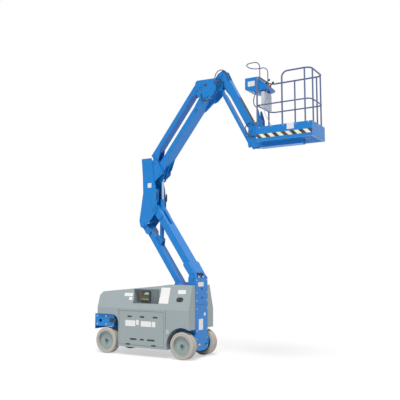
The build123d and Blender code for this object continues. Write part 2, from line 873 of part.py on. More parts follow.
def barrel(foot, direction, radius, length, bore, eye_pin, eye_half):
    """Closed cylinder barrel with an eye at its foot, open at its gland end for the rod."""
    with BuildPart() as made:
        with BuildSketch(cylinder_plane(foot, direction, 0)) as tube:
            Circle(radius)
        extrude(tube.sketch, amount=length)
        disc(foot, eye_pin + 16, -eye_half, eye_half)
        with BuildSketch(cylinder_plane(foot, direction, length)) as hole:
            Circle(bore + running_gap)
        extrude(hole.sketch, amount=-(length - 60), mode=Mode.SUBTRACT)
        disc(foot, eye_pin + running_gap, -radius, radius, Mode.SUBTRACT)
    return made.part


def rod(foot, direction, radius, start, reach, eye, eye_radius, eye_half):
    """Piston rod from start to reach, with an eye at its free end."""
    with BuildPart() as made:
        with BuildSketch(cylinder_plane(foot, direction, start)) as bar:
            Circle(radius)
        extrude(bar.sketch, amount=reach - start)
        disc(eye, eye_radius, -eye_half, eye_half)
    return made.part


with BuildPart() as riser_cylinder_barrel:
    add(
        barrel(
            riser_barrel_foot,
            riser_dir,
            riser_barrel_radius,
            riser_barrel_length,
            riser_rod_radius,
            pin_radius,
            riser_barrel_radius - 3,
        )
    )
riser_cylinder_barrel.part.label = "riser_cylinder_barrel"
export_step(riser_cylinder_barrel.part, "parts/riser_cylinder_barrel.step")
riser_rod_start = 440
with BuildPart() as riser_cylinder_rod:
    add(
        rod(
            riser_barrel_foot,
            riser_dir,
            riser_rod_radius,
            riser_rod_start,
            riser_rod_reach,
            riser_rod_eye,
            36,
            riser_rod_radius + 4,
        )
    )
riser_cylinder_rod.part.label = "riser_cylinder_rod"
export_step(riser_cylinder_rod.part, "parts/riser_cylinder_rod.step")

# Boom cylinder between the elbow's nose and the boom's ears
boom_rod_reach = hypot(boom_rod_eye[0] - boom_barrel_foot[0], boom_rod_eye[1] - boom_barrel_foot[1])
boom_dir = (
    (boom_rod_eye[0] - boom_barrel_foot[0]) / boom_rod_reach,
    0,
    (boom_rod_eye[1] - boom_barrel_foot[1]) / boom_rod_reach,
)
with BuildPart() as boom_cylinder_barrel:
    add(
        barrel(
            boom_barrel_foot,
            boom_dir,
            boom_barrel_radius,
            boom_barrel_length,
            boom_rod_radius,
            12,
            boom_barrel_radius - 2,
        )
    )
boom_cylinder_barrel.part.label = "boom_cylinder_barrel"
export_step(boom_cylinder_barrel.part, "parts/boom_cylinder_barrel.step")
with BuildPart() as boom_cylinder_rod:
    add(
        rod(
            boom_barrel_foot,
            boom_dir,
            boom_rod_radius,
            80,
            boom_rod_reach,
            boom_rod_eye,
            20,
            boom_barrel_radius,
        )
    )
boom_cylinder_rod.part.label = "boom_cylinder_rod"
export_step(boom_cylinder_rod.part, "parts/boom_cylinder_rod.step")

# Boom: box tube above its pin line, fork plates at the elbow and an eye at the platform
boom_tube_start = 170
boom_tube_end = boom_length - 90
boom_fork_inner = boom_half_width - plate
boom_ear_gap = boom_barrel_radius + side_clearance
boom_mid = (boom_tube_low + boom_tube_high) / 2
boom_round = (boom_tube_high - boom_tube_low) / 2
with BuildPart() as boom:
    box_tube(
        boom_pivot,
        boom_angle,
        boom_tube_start,
        boom_tube_end,
        boom_tube_low,
        boom_tube_high,
        boom_half_width,
        tube_wall,
    )
    cheek_high = boom_tube_low + tube_wall
    for cheek_y in (boom_half_width, -boom_fork_inner):
        with BuildSketch(arm_plane(boom_pivot, boom_angle, cheek_y)) as cheek:
            with Locations(((boom_tube_start + boom_tube_end) / 2, (boom_cheek_low + cheek_high) / 2)):
                Rectangle(boom_tube_end - boom_tube_start, cheek_high - boom_cheek_low)
        extrude(cheek.sketch, amount=plate)
    lug(
        boom_pivot,
        boom_angle,
        [(0, 0, 60), (0, 60, 60), (230, boom_mid, boom_round), (180, boom_mid, boom_round)],
        boom_fork_inner,
        boom_half_width,
    )
    lug(
        boom_pivot,
        boom_angle,
        [
            (boom_length, 0, 42),
            (boom_length - 120, boom_mid, boom_round),
            (boom_length - 200, boom_mid, boom_round),
        ],
        boom_fork_inner,
        boom_half_width,
    )
    lug(
        boom_pivot,
        boom_angle,
        [(boom_lug_along, boom_lug_offset, 24), (boom_lug_along - 50, 40, 8), (boom_lug_along + 50, 40, 8)],
        boom_ear_gap,
        boom_ear_gap + 10,
    )
    disc(boom_pivot, pin_radius + running_gap, -boom_half_width - 1, boom_half_width + 1, Mode.SUBTRACT)
    disc(boom_end, 18 + running_gap, -boom_half_width - 1, boom_half_width + 1, Mode.SUBTRACT)
boom.part.label = "boom"
export_step(boom.part, "parts/boom.step")

# Level link: keeps the platform level
with BuildPart() as level_link:
    for start, end, half_width in (
        (level_wide_start, boom_length, level_wide_half),
        (0, level_wide_start + 30, level_half_width),
    ):
        box_tube(
            level_foot, boom_angle, start, end, -level_depth / 2, level_depth / 2, half_width, level_wall
        )
    disc(level_foot, level_depth / 2, -level_half_width, level_half_width)
    disc(level_head, level_depth / 2, -level_wide_half, level_wide_half)
    pin_bore = level_pin_radius + running_gap
    disc(level_foot, pin_bore, -level_half_width - 1, level_half_width + 1, Mode.SUBTRACT)
    disc(level_head, pin_bore, -level_wide_half - 1, level_wide_half + 1, Mode.SUBTRACT)
level_link.part.label = "level_link"
export_step(level_link.part, "parts/level_link.step")

# Platform bracket: two plates around the boom's end, a back plate and a support arm
bracket_inner = bracket_half_width - plate
support_low = floor_z - floor_frame - 60
with BuildPart() as platform_bracket:
    both_slabs(
        [
            shifted(level_head, -36, 0),
            shifted(level_head, -20, -48),
            shifted(level_head, 130, -62),
            (platform_x - 10, floor_z - floor_frame),
            (platform_x - 10, floor_z + 380),
            (platform_x - 60, floor_z + 560),
            (platform_x - 90, floor_z + 560),
            (platform_x - 90, boom_end[1] + 150),
            shifted(boom_end, -30, 45),
            shifted(boom_end, -45, 0),
        ],
        bracket_inner,
        bracket_half_width,
    )
    block(
        (platform_x - 34, -bracket_inner, floor_z - floor_frame),
        (platform_x - 22, bracket_inner, floor_z + 380),
    )
    block(
        (platform_x - 60, -bracket_half_width, support_low),
        (platform_x + 720, bracket_half_width, floor_z - floor_frame),
    )
    block(
        (platform_x - 52, -bracket_half_width + 8, support_low + 8),
        (platform_x + 712, bracket_half_width - 8, floor_z - floor_frame - 8),
        mode=Mode.SUBTRACT,
    )
    disc(boom_end, 18, -bracket_half_width - 5, bracket_half_width + 5)
    disc(level_head, level_pin_radius, -bracket_half_width - 5, bracket_half_width + 5)
platform_bracket.part.label = "platform_bracket"
export_step(platform_bracket.part, "parts/platform_bracket.step")

# Platform floor on its tube frame
with BuildPart() as platform_floor:
    block(
        (platform_x, -platform_half_width, floor_z - floor_plate),
        (platform_end, platform_half_width, floor_z),
    )
    block(
        (platform_x, -platform_half_width, floor_z - floor_frame),
        (platform_end, platform_half_width, floor_z - floor_plate),
    )
    block(
        (platform_x + 30, -platform_half_width + 30, floor_z - floor_frame),
        (platform_end - 30, platform_half_width - 30, floor_z - floor_plate),
        mode=Mode.SUBTRACT,
    )
    for slat in range(7):
        slat_y = -platform_half_width + 60 + slat * (2 * platform_half_width - 120) / 6
        block(
            (platform_x + 30, slat_y - 15, floor_z - floor_frame),
            (platform_end - 30, slat_y + 15, floor_z - floor_plate),
        )
platform_floor.part.label = "platform_floor"
export_step(platform_floor.part, "parts/platform_floor.step")

# Toe boards around the floor
with BuildPart() as toe_boards:
    block(
        (platform_x, -platform_half_width, floor_z), (platform_end, platform_half_width, floor_z + toe_height)
    )
    block(
        (platform_x + toe_plate, -platform_half_width + toe_plate, floor_z),
        (platform_end - toe_plate, platform_half_width - toe_plate, floor_z + toe_height),
        mode=Mode.SUBTRACT,
    )
toe_boards.part.label = "toe_boards"
export_step(toe_boards.part, "parts/toe_boards.step")

# Guard rails: top rail, mid rail and posts of round tube
rail_y = platform_half_width - toe_plate - rail_radius - seat_gap
rail_left = platform_x + toe_plate + rail_radius + seat_gap
rail_right = platform_end - toe_plate - rail_radius - seat_gap
gate_x = platform_x + 470
top_rail_z = floor_z + rail_height - rail_radius
mid_rail_z = floor_z + mid_rail_height
console_low_z = floor_z + 860
console_bar_z = console_low_z - 16
hoop_half = 170
hoop_z = floor_z + 1375
hoop_x = platform_x - 285
hoop_bend = 100
hoop_tip = 145
hoop_radius = 9


bar_radius = 12
bar_ear_gap = 6
bar_pivot = (gate_x - rail_radius - bar_radius - 8, mid_rail_z)


def rail(points, radii, radius):
    """Bent round tube through points, with a radius at each corner."""
    with BuildPart() as made:
        with BuildLine() as path:
            FilletPolyline(*points, radius=radii)
        with BuildSketch(Plane(origin=path.line @ 0, z_dir=path.line % 0)):
            Circle(radius)
        sweep()
    return made.part


post_places = [
    (rail_left, rail_y - corner_radius),
    (gate_x, rail_y),
    (rail_right - corner_radius, rail_y),
    (rail_right, rail_y - corner_radius),
    (rail_right, -rail_y + corner_radius),
    (rail_right - corner_radius, -rail_y),
]
with BuildPart() as guard_rails:
    add(
        rail(
            [
                (gate_x, -rail_y, floor_z),
                (gate_x, -rail_y, top_rail_z),
                (rail_right, -rail_y, top_rail_z),
                (rail_right, rail_y, top_rail_z),
                (rail_left, rail_y, top_rail_z),
                (rail_left, -rail_y, top_rail_z),
                (rail_left, -rail_y, floor_z),
            ],
            [corner_radius] * 5,
            rail_radius,
        )
    )
    add(
        rail(
            [
                (rail_left, -hoop_half, top_rail_z),
                (rail_left, -hoop_half, hoop_z),
                (hoop_x, -hoop_half, hoop_z),
                (hoop_x, hoop_half, hoop_z),
                (rail_left, hoop_half, hoop_z),
                (rail_left, hoop_half, top_rail_z),
            ],
            [hoop_bend, hoop_tip, hoop_tip, hoop_bend],
            hoop_radius,
        )
    )
    disc((rail_left, console_bar_z), mid_rail_radius, -rail_y, rail_y - corner_radius)
    add(
        rail(
            [
                (gate_x, -rail_y, mid_rail_z),
                (rail_right, -rail_y, mid_rail_z),
                (rail_right, rail_y, mid_rail_z),
                (rail_left, rail_y, mid_rail_z),
                (rail_left, -rail_y, mid_rail_z),
            ],
            [corner_radius] * 3,
            mid_rail_radius,
        )
    )
    for post_x, post_y in post_places:
        with BuildSketch(Plane.XY.offset(floor_z)) as post:
            with Locations((post_x, post_y)):
                Circle(post_radius)
        extrude(post.sketch, amount=rail_height - rail_radius)
    for ear in (-rail_y - bar_ear_gap - 4, -rail_y + bar_ear_gap):
        slab(
            [
                (gate_x, mid_rail_z - 14),
                (gate_x, mid_rail_z + 14),
                (bar_pivot[0], mid_rail_z + 12),
                (bar_pivot[0] - 10, mid_rail_z),
                (bar_pivot[0], mid_rail_z - 12),
            ],
            ear,
            ear + 4,
        )
    disc(bar_pivot, 5, -rail_y - bar_ear_gap - 4, -rail_y + bar_ear_gap + 4)
guard_rails.part.label = "guard_rails"
export_step(guard_rails.part, "parts/guard_rails.step")

# Entry bar: hinged beside the gate post, it swings up out of the way
with BuildPart() as entry_bar:
    with BuildSketch(Plane.YZ.offset(rail_left + rail_radius + side_clearance)) as bar_section:
        with Locations((-rail_y, mid_rail_z)):
            Circle(bar_radius)
    extrude(amount=bar_pivot[0] - 24 - rail_left - rail_radius - side_clearance)
    slab(
        [
            (bar_pivot[0] - 30, mid_rail_z - 10),
            (bar_pivot[0] - 30, mid_rail_z + 10),
            (bar_pivot[0], mid_rail_z + 10),
            (bar_pivot[0], mid_rail_z - 10),
        ],
        -rail_y - bar_ear_gap + 1,
        -rail_y + bar_ear_gap - 1,
    )
    disc(bar_pivot, 10, -rail_y - bar_ear_gap + 1, -rail_y + bar_ear_gap - 1)
    disc(bar_pivot, 5 + running_gap, -rail_y - bar_ear_gap, -rail_y + bar_ear_gap, Mode.SUBTRACT)
entry_bar.part.label = "entry_bar"
export_step(entry_bar.part, "parts/entry_bar.step")

# Platform controls on the left rails
console_half = 160
console_wall = 4
console_points = [
    (platform_x - 270, console_low_z + 60),
    (platform_x - 60, console_low_z - 20),
    (platform_x + 160, console_low_z + 28),
    (platform_x + 160, console_low_z + 60),
    (platform_x + 10, console_low_z + 200),
    (platform_x - 40, console_low_z + 260),
    (platform_x - 270, console_low_z + 260),
]
with BuildPart() as console:
    slab(console_points, -console_half, console_half)
    with BuildSketch(side(console_half - console_wall)) as console_inside:
        Polygon(*console_points, align=None)
        offset(amount=-console_wall, kind=Kind.INTERSECTION, mode=Mode.REPLACE)
    extrude(console_inside.sketch, amount=2 * (console_half - console_wall), mode=Mode.SUBTRACT)
console.part.label = "console"
export_step(console.part, "parts/console.step")

# Document box, open at its top, hung on the bars below the console
box_back_x = rail_left + mid_rail_radius + seat_gap
box_half = 150
box_depth = 62
box_wall = 3
box_low_z = floor_z + 560
box_high_z = floor_z + 850
with BuildPart() as document_box:
    block((box_back_x, -box_half, box_low_z), (box_back_x + box_depth, box_half, box_high_z))
    block(
        (box_back_x + box_wall, -box_half + box_wall, box_low_z + box_wall),
        (box_back_x + box_depth - box_wall, box_half - box_wall, box_high_z + 10),
        mode=Mode.SUBTRACT,
    )
document_box.part.label = "document_box"
export_step(document_box.part, "parts/document_box.step")

# Foot switch on the platform floor
switch_x = platform_x + 218
switch_length = 130
switch_tread = 80
switch_width = 110
switch_height = 50
switch_toe = 20
switch_y = 180
with BuildPart() as foot_switch:
    slab(
        [
            (switch_x, floor_z),
            (switch_x + switch_length, floor_z),
            (switch_x + switch_length, floor_z + switch_toe),
            (switch_x + switch_tread, floor_z + switch_height),
            (switch_x, floor_z + switch_height),
        ],
        -switch_y - switch_width / 2,
        -switch_y + switch_width / 2,
    )
foot_switch.part.label = "foot_switch"
export_step(foot_switch.part, "parts/foot_switch.step")

# Hoses over the top of the mast
hose_x = mast_x - 11
base_hose_radius = 7
outer_arch = [(-105, 0), (-105, 30), (-92, 62), (-50, 84), (10, 84), (60, 60), (75, 30), (75, 0)]
inner_arch = [(-72, 0), (-72, 24), (-56, 44), (-22, 56), (14, 54), (38, 42), (46, 22), (46, 0)]
with BuildPart() as base_hoses:
    for arch in (outer_arch, inner_arch):
        add(hose([(hose_x, y, hose_foot_z + touch_gap + rise) for y, rise in arch], base_hose_radius))
base_hoses.part.label = "base_hoses"
export_step(base_hoses.part, "parts/base_hoses.step")

# Hose loop below the elbow, on its near plate
elbow_loop = [
    (-110, 52),
    (-100, -18),
    (-30, -88),
    (60, -110),
    (150, -83),
    (222, -8),
    (248, 92),
    (222, 194),
    (160, 247),
]
elbow_hose_radius = 10
with BuildPart() as elbow_hoses:
    elbow_y = -elbow_half_width - elbow_hose_radius - touch_gap
    add(hose([(upper_head[0] + dx, elbow_y, upper_head[1] + dz) for dx, dz in elbow_loop], elbow_hose_radius))
elbow_hoses.part.label = "elbow_hoses"
export_step(elbow_hoses.part, "parts/elbow_hoses.step")

# Hose ring around the boom's head, on its near plate
head_ring = [
    (67, -168),
    (17, -130),
    (-43, -127),
    (-88, -98),
    (-120, -40),
    (-110, 30),
    (-62, 85),
    (2, 105),
    (67, 82),
    (117, 25),
    (142, -45),
    (165, -115),
]
boom_hose_radius = 8
with BuildPart() as boom_hoses:
    ring_y = -boom_half_width - boom_hose_radius - touch_gap
    add(hose([(boom_pivot[0] + dx, ring_y, boom_pivot[1] + dz) for dx, dz in head_ring], boom_hose_radius))
boom_hoses.part.label = "boom_hoses"
export_step(boom_hoses.part, "parts/boom_hoses.step")

# Platform cables: hose loop at the boom's end, console cable, foot switch cable
end_loop = [(71, 90), (16, 126), (-54, 120), (-97, 60), (-89, -15), (-34, -85), (31, -112), (81, -112)]
console_run = [(-107, 856), (-137, 800), (-150, 730), (-142, 660), (-105, 610), (-77, 590), (-77, 561)]
switch_run = [
    (123, -120, 877.5),
    (121, -135, 800),
    (108, -162, 700),
    (88, -182, 580),
    (108, -192, 460),
    (158, -195, 350),
    (218, -190, 240),
    (258, -185, 150),
    (273, -180, 110),
    (273, -180, 51),
]
switch_cable_radius = 5
with BuildPart() as platform_cables:
    loop_y = -bracket_half_width - boom_hose_radius - touch_gap
    add(hose([(boom_end[0] + dx, loop_y, boom_end[1] + dz) for dx, dz in end_loop], boom_hose_radius))
    run_y = -bracket_half_width + 6
    add(hose([(platform_x + dx, run_y, floor_z + dz) for dx, dz in console_run], boom_hose_radius))
    add(hose([(platform_x + dx, y, floor_z + dz) for dx, y, dz in switch_run], switch_cable_radius))
platform_cables.part.label = "platform_cables"
export_step(platform_cables.part, "parts/platform_cables.step")
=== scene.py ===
from math import cos, pi, radians, sin

import bmesh
import bpy
from mathutils import Matrix, Vector


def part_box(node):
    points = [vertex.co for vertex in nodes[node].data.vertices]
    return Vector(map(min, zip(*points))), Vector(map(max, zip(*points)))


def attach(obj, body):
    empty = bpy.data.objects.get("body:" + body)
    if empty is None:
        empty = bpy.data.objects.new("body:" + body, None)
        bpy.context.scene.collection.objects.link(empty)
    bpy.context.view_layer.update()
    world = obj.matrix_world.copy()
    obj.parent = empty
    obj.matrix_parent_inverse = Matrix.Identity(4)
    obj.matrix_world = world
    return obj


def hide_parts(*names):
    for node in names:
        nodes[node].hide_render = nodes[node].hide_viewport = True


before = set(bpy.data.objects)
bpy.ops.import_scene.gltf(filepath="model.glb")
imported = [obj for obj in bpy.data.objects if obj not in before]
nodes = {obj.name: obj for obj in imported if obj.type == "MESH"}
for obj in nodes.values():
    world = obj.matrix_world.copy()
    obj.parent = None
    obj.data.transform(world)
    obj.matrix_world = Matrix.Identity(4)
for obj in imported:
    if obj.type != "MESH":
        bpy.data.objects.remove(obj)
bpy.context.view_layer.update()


# Floor and daylight. The machine stands on a pale floor that fades to white, under a high soft sun from the
# camera's left and an even sky, so that a colour renders about as it is written.
def material(name):
    """A new node material with its Principled shader."""
    made = bpy.data.materials.new(name)
    made.use_nodes = True
    return made, made.node_tree, made.node_tree.nodes["Principled BSDF"]


def mesh_piece(name, shape):
    """Turns a bmesh into a piece that sits at the origin."""
    bmesh.ops.recalc_face_normals(shape, faces=shape.faces[:])
    data = bpy.data.meshes.new(name)
    shape.to_mesh(data)
    shape.free()
    piece = bpy.data.objects.new(name, data)
    bpy.context.scene.collection.objects.link(piece)
    return piece


floor_half = 40.0
floor_shape = bmesh.new()
bmesh.ops.create_grid(floor_shape, x_segments=1, y_segments=1, size=floor_half)
floor = mesh_piece("floor", floor_shape)
floor_paint, tree, shader = material("pale_floor")
shader.inputs["Base Color"].default_value = (0.80, 0.80, 0.80, 1)
shader.inputs["Roughness"].default_value = 0.9
shader.inputs["Specular IOR Level"].default_value = 0.1
white = tree.nodes.new("ShaderNodeEmission")
white.inputs["Strength"].default_value = 1.0
blend = tree.nodes.new("ShaderNodeMixShader")
ray = tree.nodes.new("ShaderNodeLightPath")
place = tree.nodes.new("ShaderNodeTexCoord")
length = tree.nodes.new("ShaderNodeVectorMath")
length.operation = "LENGTH"
fade = tree.nodes.new("ShaderNodeMapRange")
fade.inputs["From Min"].default_value = 1.5
fade.inputs["From Max"].default_value = 7.0
fade.inputs["To Min"].default_value = 0.55
fade.inputs["To Max"].default_value = 1.0
seen = tree.nodes.new("ShaderNodeMath")
seen.operation = "MULTIPLY"
tree.links.new(place.outputs["Object"], length.inputs[0])
tree.links.new(length.outputs["Value"], fade.inputs["Value"])
tree.links.new(fade.outputs["Result"], seen.inputs[0])
tree.links.new(ray.outputs["Is Camera Ray"], seen.inputs[1])
tree.links.new(seen.outputs["Value"], blend.inputs["Fac"])
tree.links.new(shader.outputs["BSDF"], blend.inputs[1])
tree.links.new(white.outputs["Emission"], blend.inputs[2])
tree.links.new(blend.outputs["Shader"], tree.nodes["Material Output"].inputs["Surface"])
floor.data.materials.append(floor_paint)

sky = bpy.data.worlds.new("even_sky")
bpy.context.scene.world = sky
sky.use_nodes = True
tree = sky.node_tree
soft = tree.nodes["Background"]
soft.inputs["Color"].default_value = (0.93, 0.96, 1.0, 1)
soft.inputs["Strength"].default_value = 0.46
clear = tree.nodes.new("ShaderNodeBackground")
clear.inputs["Color"].default_value = (1, 1, 1, 1)
clear.inputs["Strength"].default_value = 1.0
ray = tree.nodes.new("ShaderNodeLightPath")
either = tree.nodes.new("ShaderNodeMath")
either.operation = "MAXIMUM"
third = tree.nodes.new("ShaderNodeMath")
third.operation = "MAXIMUM"
pick = tree.nodes.new("ShaderNodeMixShader")
tree.links.new(ray.outputs["Is Camera Ray"], either.inputs[0])
tree.links.new(ray.outputs["Is Glossy Ray"], either.inputs[1])
tree.links.new(either.outputs["Value"], third.inputs[0])
tree.links.new(ray.outputs["Is Transmission Ray"], third.inputs[1])
tree.links.new(third.outputs["Value"], pick.inputs["Fac"])
tree.links.new(soft.outputs["Background"], pick.inputs[1])
tree.links.new(clear.outputs["Background"], pick.inputs[2])
tree.links.new(pick.outputs["Shader"], tree.nodes["World Output"].inputs["Surface"])

sun_lamp = bpy.data.lights.new("sun", "SUN")
sun_lamp.energy = 3.2
sun_lamp.angle = radians(24)
sun_lamp.color = (1.0, 0.97, 0.92)
sun = bpy.data.objects.new("sun", sun_lamp)
sunlight = Vector((-0.20, 0.38, -0.90))
sun.rotation_euler = sunlight.to_track_quat("-Z", "Y").to_euler()
bpy.context.scene.collection.objects.link(sun)


# Camera: well off the near side and towards the platform's end, at about eye height and tilted up a little,
# with a lens that takes in the whole raised machine.
eye = Vector((5.363, -9.310, 1.641))
look_up = 0.1071
look_x = -0.5141
look_y = 0.8577
look = Vector((look_x * cos(look_up), look_y * cos(look_up), sin(look_up)))
lens = bpy.data.cameras.new("camera")
lens.lens = 53.75
lens.sensor_width = 36
lens.shift_x = 0.0147
lens.clip_end = 200
camera = bpy.data.objects.new("camera", lens)
camera.location = eye
camera.rotation_euler = look.to_track_quat("-Z", "Y").to_euler()
bpy.context.scene.collection.objects.link(camera)
bpy.context.scene.camera = camera
bpy.context.scene.view_settings.view_transform = "Standard"


# Blue enamel on the welded steel: chassis, mast, risers, elbow, boom and bracket. It is sprayed gloss paint,
# slightly uneven, with a thin film of dust in scattered patches.
def socket(group, name, in_out, kind, value=None):
    """A named socket on a node group."""
    made = group.interface.new_socket(name=name, in_out=in_out, socket_type=kind)
    if value is not None:
        made.default_value = value
    return made


def wear_group():
    """Colour drift, dust and fine grain that all finishes share."""
    group = bpy.data.node_groups.new("surface_wear", "ShaderNodeTree")
    socket(group, "Colour", "INPUT", "NodeSocketColor", (0.5, 0.5, 0.5, 1))
    socket(group, "Dust", "INPUT", "NodeSocketColor", (0.4, 0.38, 0.34, 1))
    socket(group, "Dust Amount", "INPUT", "NodeSocketFloat", 0.2)
    socket(group, "Drift", "INPUT", "NodeSocketFloat", 0.1)
    socket(group, "Grain Scale", "INPUT", "NodeSocketFloat", 300.0)
    socket(group, "Rough Low", "INPUT", "NodeSocketFloat", 0.3)
    socket(group, "Rough High", "INPUT", "NodeSocketFloat", 0.5)
    socket(group, "Colour", "OUTPUT", "NodeSocketColor")
    socket(group, "Roughness", "OUTPUT", "NodeSocketFloat")
    socket(group, "Height", "OUTPUT", "NodeSocketFloat")
    new = group.nodes.new
    link = group.links.new
    given = new("NodeGroupInput")
    result = new("NodeGroupOutput")
    place = new("ShaderNodeTexCoord")
    clouds = new("ShaderNodeTexNoise")
    clouds.inputs["Scale"].default_value = 2.6
    clouds.inputs["Detail"].default_value = 6.0
    patches = new("ShaderNodeTexNoise")
    patches.inputs["Scale"].default_value = 17.0
    patches.inputs["Detail"].default_value = 8.0
    grain = new("ShaderNodeTexNoise")
    grain.inputs["Detail"].default_value = 2.0
    link(place.outputs["Object"], clouds.inputs["Vector"])
    link(place.outputs["Object"], patches.inputs["Vector"])
    link(place.outputs["Object"], grain.inputs["Vector"])
    link(given.outputs["Grain Scale"], grain.inputs["Scale"])
    centre = new("ShaderNodeMath")
    centre.operation = "SUBTRACT"
    centre.inputs[1].default_value = 0.5
    link(clouds.outputs["Fac"], centre.inputs[0])
    amount = new("ShaderNodeMath")
    amount.operation = "MULTIPLY_ADD"
    amount.inputs[2].default_value = 1.0
    link(centre.outputs["Value"], amount.inputs[0])
    link(given.outputs["Drift"], amount.inputs[1])
    drifted = new("ShaderNodeHueSaturation")
    link(given.outputs["Colour"], drifted.inputs["Color"])
    link(amount.outputs["Value"], drifted.inputs["Value"])
    settle = new("ShaderNodeMapRange")
    settle.inputs["From Min"].default_value = 0.45
    settle.inputs["From Max"].default_value = 0.75
    link(patches.outputs["Fac"], settle.inputs["Value"])
    dusty = new("ShaderNodeMath")
    dusty.operation = "MULTIPLY"
    link(settle.outputs["Result"], dusty.inputs[0])
    link(given.outputs["Dust Amount"], dusty.inputs[1])
    mix = new("ShaderNodeMix")
    mix.data_type = "RGBA"
    link(dusty.outputs["Value"], mix.inputs["Factor"])
    link(drifted.outputs["Color"], mix.inputs["A"])
    link(given.outputs["Dust"], mix.inputs["B"])
    rough = new("ShaderNodeMapRange")
    link(patches.outputs["Fac"], rough.inputs["Value"])
    link(given.outputs["Rough Low"], rough.inputs["To Min"])
    link(given.outputs["Rough High"], rough.inputs["To Max"])
    link(mix.outputs["Result"], result.inputs["Colour"])
    link(rough.outputs["Result"], result.inputs["Roughness"])
    link(grain.outputs["Fac"], result.inputs["Height"])
    return group


surface_wear = wear_group()


def finish(
    name, colour, rough=(0.3, 0.5), dust=0.15, drift=0.12, grain=300.0, bump=0.0004, coat=0.0, metal=0.0
):
    """A finish built on the shared wear, with its own values."""
    made, tree, shader = material(name)
    wear = tree.nodes.new("ShaderNodeGroup")
    wear.node_tree = surface_wear
    wear.inputs["Colour"].default_value = (*colour, 1)
    wear.inputs["Dust"].default_value = (0.42, 0.39, 0.34, 1)
    wear.inputs["Dust Amount"].default_value = dust
    wear.inputs["Drift"].default_value = drift
    wear.inputs["Grain Scale"].default_value = grain
    wear.inputs["Rough Low"].default_value = rough[0]
    wear.inputs["Rough High"].default_value = rough[1]
    relief = tree.nodes.new("ShaderNodeBump")
    relief.inputs["Distance"].default_value = bump
    relief.inputs["Strength"].default_value = 0.6
    tree.links.new(wear.outputs["Colour"], shader.inputs["Base Color"])
    tree.links.new(wear.outputs["Roughness"], shader.inputs["Roughness"])
    tree.links.new(wear.outputs["Height"], relief.inputs["Height"])
    tree.links.new(relief.outputs["Normal"], shader.inputs["Normal"])
    shader.inputs["Coat Weight"].default_value = coat
    shader.inputs["Coat Roughness"].default_value = 0.12
    shader.inputs["Metallic"].default_value = metal
    return made


def dress(made, *names):
    """Gives a finish to CAD nodes."""
    for name in names:
        for place in nodes[name].material_slots:
            place.material = made


blue_enamel = finish("blue_enamel", (0.001, 0.185, 0.560), rough=(0.30, 0.45), dust=0.03, coat=0.06)
blue_enamel.node_tree.nodes["Principled BSDF"].inputs["Specular IOR Level"].default_value = 0.35
dress(
    blue_enamel,
    "chassis_frame",
    "mast",
    "lower_arm",
    "lower_link",
    "mid_link",
    "upper_arm",
    "upper_link",
    "elbow",
    "boom",
    "level_link",
    "platform_bracket",
    "platform_floor",
    "toe_boards",
    "console",
)


# Small parts made the same way all over the machine: sheet plates, bolts and pin caps. Plates are cut from
# sheet with rounded corners, bolts are hexagon heads on washers, and each pin ends in a cap and a keeper.
def frame_matrix(centre, across, up):
    """Matrix that takes X to across, Y to up and Z out of the surface, at centre."""
    x = Vector(across).normalized()
    z = x.cross(Vector(up)).normalized()
    y = z.cross(x)
    turned = Matrix((x, y, z)).transposed().to_4x4()
    return Matrix.Translation(Vector(centre)) @ turned


def add_plate(shape, centre, across, up, width, height, thick, corner=0.004, edge=0.0006):
    """Adds one plate with rounded corners, lying on the surface at centre."""
    made = bmesh.ops.create_cube(shape, size=1)["verts"]
    bmesh.ops.scale(shape, vec=(width, height, thick), verts=made)
    bmesh.ops.translate(shape, vec=(0, 0, thick / 2), verts=made)
    uprights = [
        e
        for e in {line for v in made for line in v.link_edges}
        if abs(e.verts[0].co.z - e.verts[1].co.z) > thick / 2
    ]
    rounded = bmesh.ops.bevel(
        shape, geom=uprights, offset=corner, segments=4, affect="EDGES", profile=0.5, material=-1
    )
    bound = {v for f in rounded["faces"] for v in f.verts} | {v for v in made if v.is_valid}
    rim = [
        e
        for e in {line for v in bound for line in v.link_edges}
        if all(v.co.z > thick * 0.9 for v in e.verts)
        and len(e.link_faces) == 2
        and e.calc_face_angle(0) > 0.8
    ]
    if edge:
        top = bmesh.ops.bevel(
            shape, geom=rim, offset=edge, segments=1, affect="EDGES", profile=0.5, material=-1
        )
        bound = {v for v in bound if v.is_valid} | {v for f in top["faces"] for v in f.verts}
    bmesh.ops.transform(shape, matrix=frame_matrix(centre, across, up), verts=list(bound))


def add_piece(name, shape, made, body):
    """Turns a bmesh into a piece of one finish that rides on a body."""
    piece = mesh_piece(name, shape)
    piece.data.materials.append(made)
    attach(piece, body)


def plates(name, body, made, places, thick=0.002, corner=0.004, edge=0.0006):
    """Plates of one finish on one body: (centre, across, up, width, height) each."""
    shape = bmesh.new()
    for centre, across, up, width, height in places:
        add_plate(shape, centre, across, up, width, height, thick, corner, edge)
    add_piece(name, shape, made, body)


def add_disc(shape, centre, out, radius, height, sides=24, edge=0.001):
    """Adds one round or hexagonal boss that stands out from centre."""
    made = bmesh.ops.create_cone(
        shape, cap_ends=True, segments=sides, radius1=radius, radius2=radius, depth=height
    )["verts"]
    bmesh.ops.translate(shape, vec=(0, 0, height / 2), verts=made)
    rim = [
        e
        for e in {line for v in made for line in v.link_edges}
        if all(v.co.z > height * 0.9 for v in e.verts)
    ]
    bevelled = bmesh.ops.bevel(
        shape, geom=rim, offset=edge, segments=2, affect="EDGES", profile=0.5, material=-1
    )
    bound = {v for v in made if v.is_valid} | {v for f in bevelled["faces"] for v in f.verts}
    turned = Vector((0, 0, 1)).rotation_difference(Vector(out)).to_matrix().to_4x4()
    bmesh.ops.transform(shape, matrix=Matrix.Translation(Vector(centre)) @ turned, verts=list(bound))


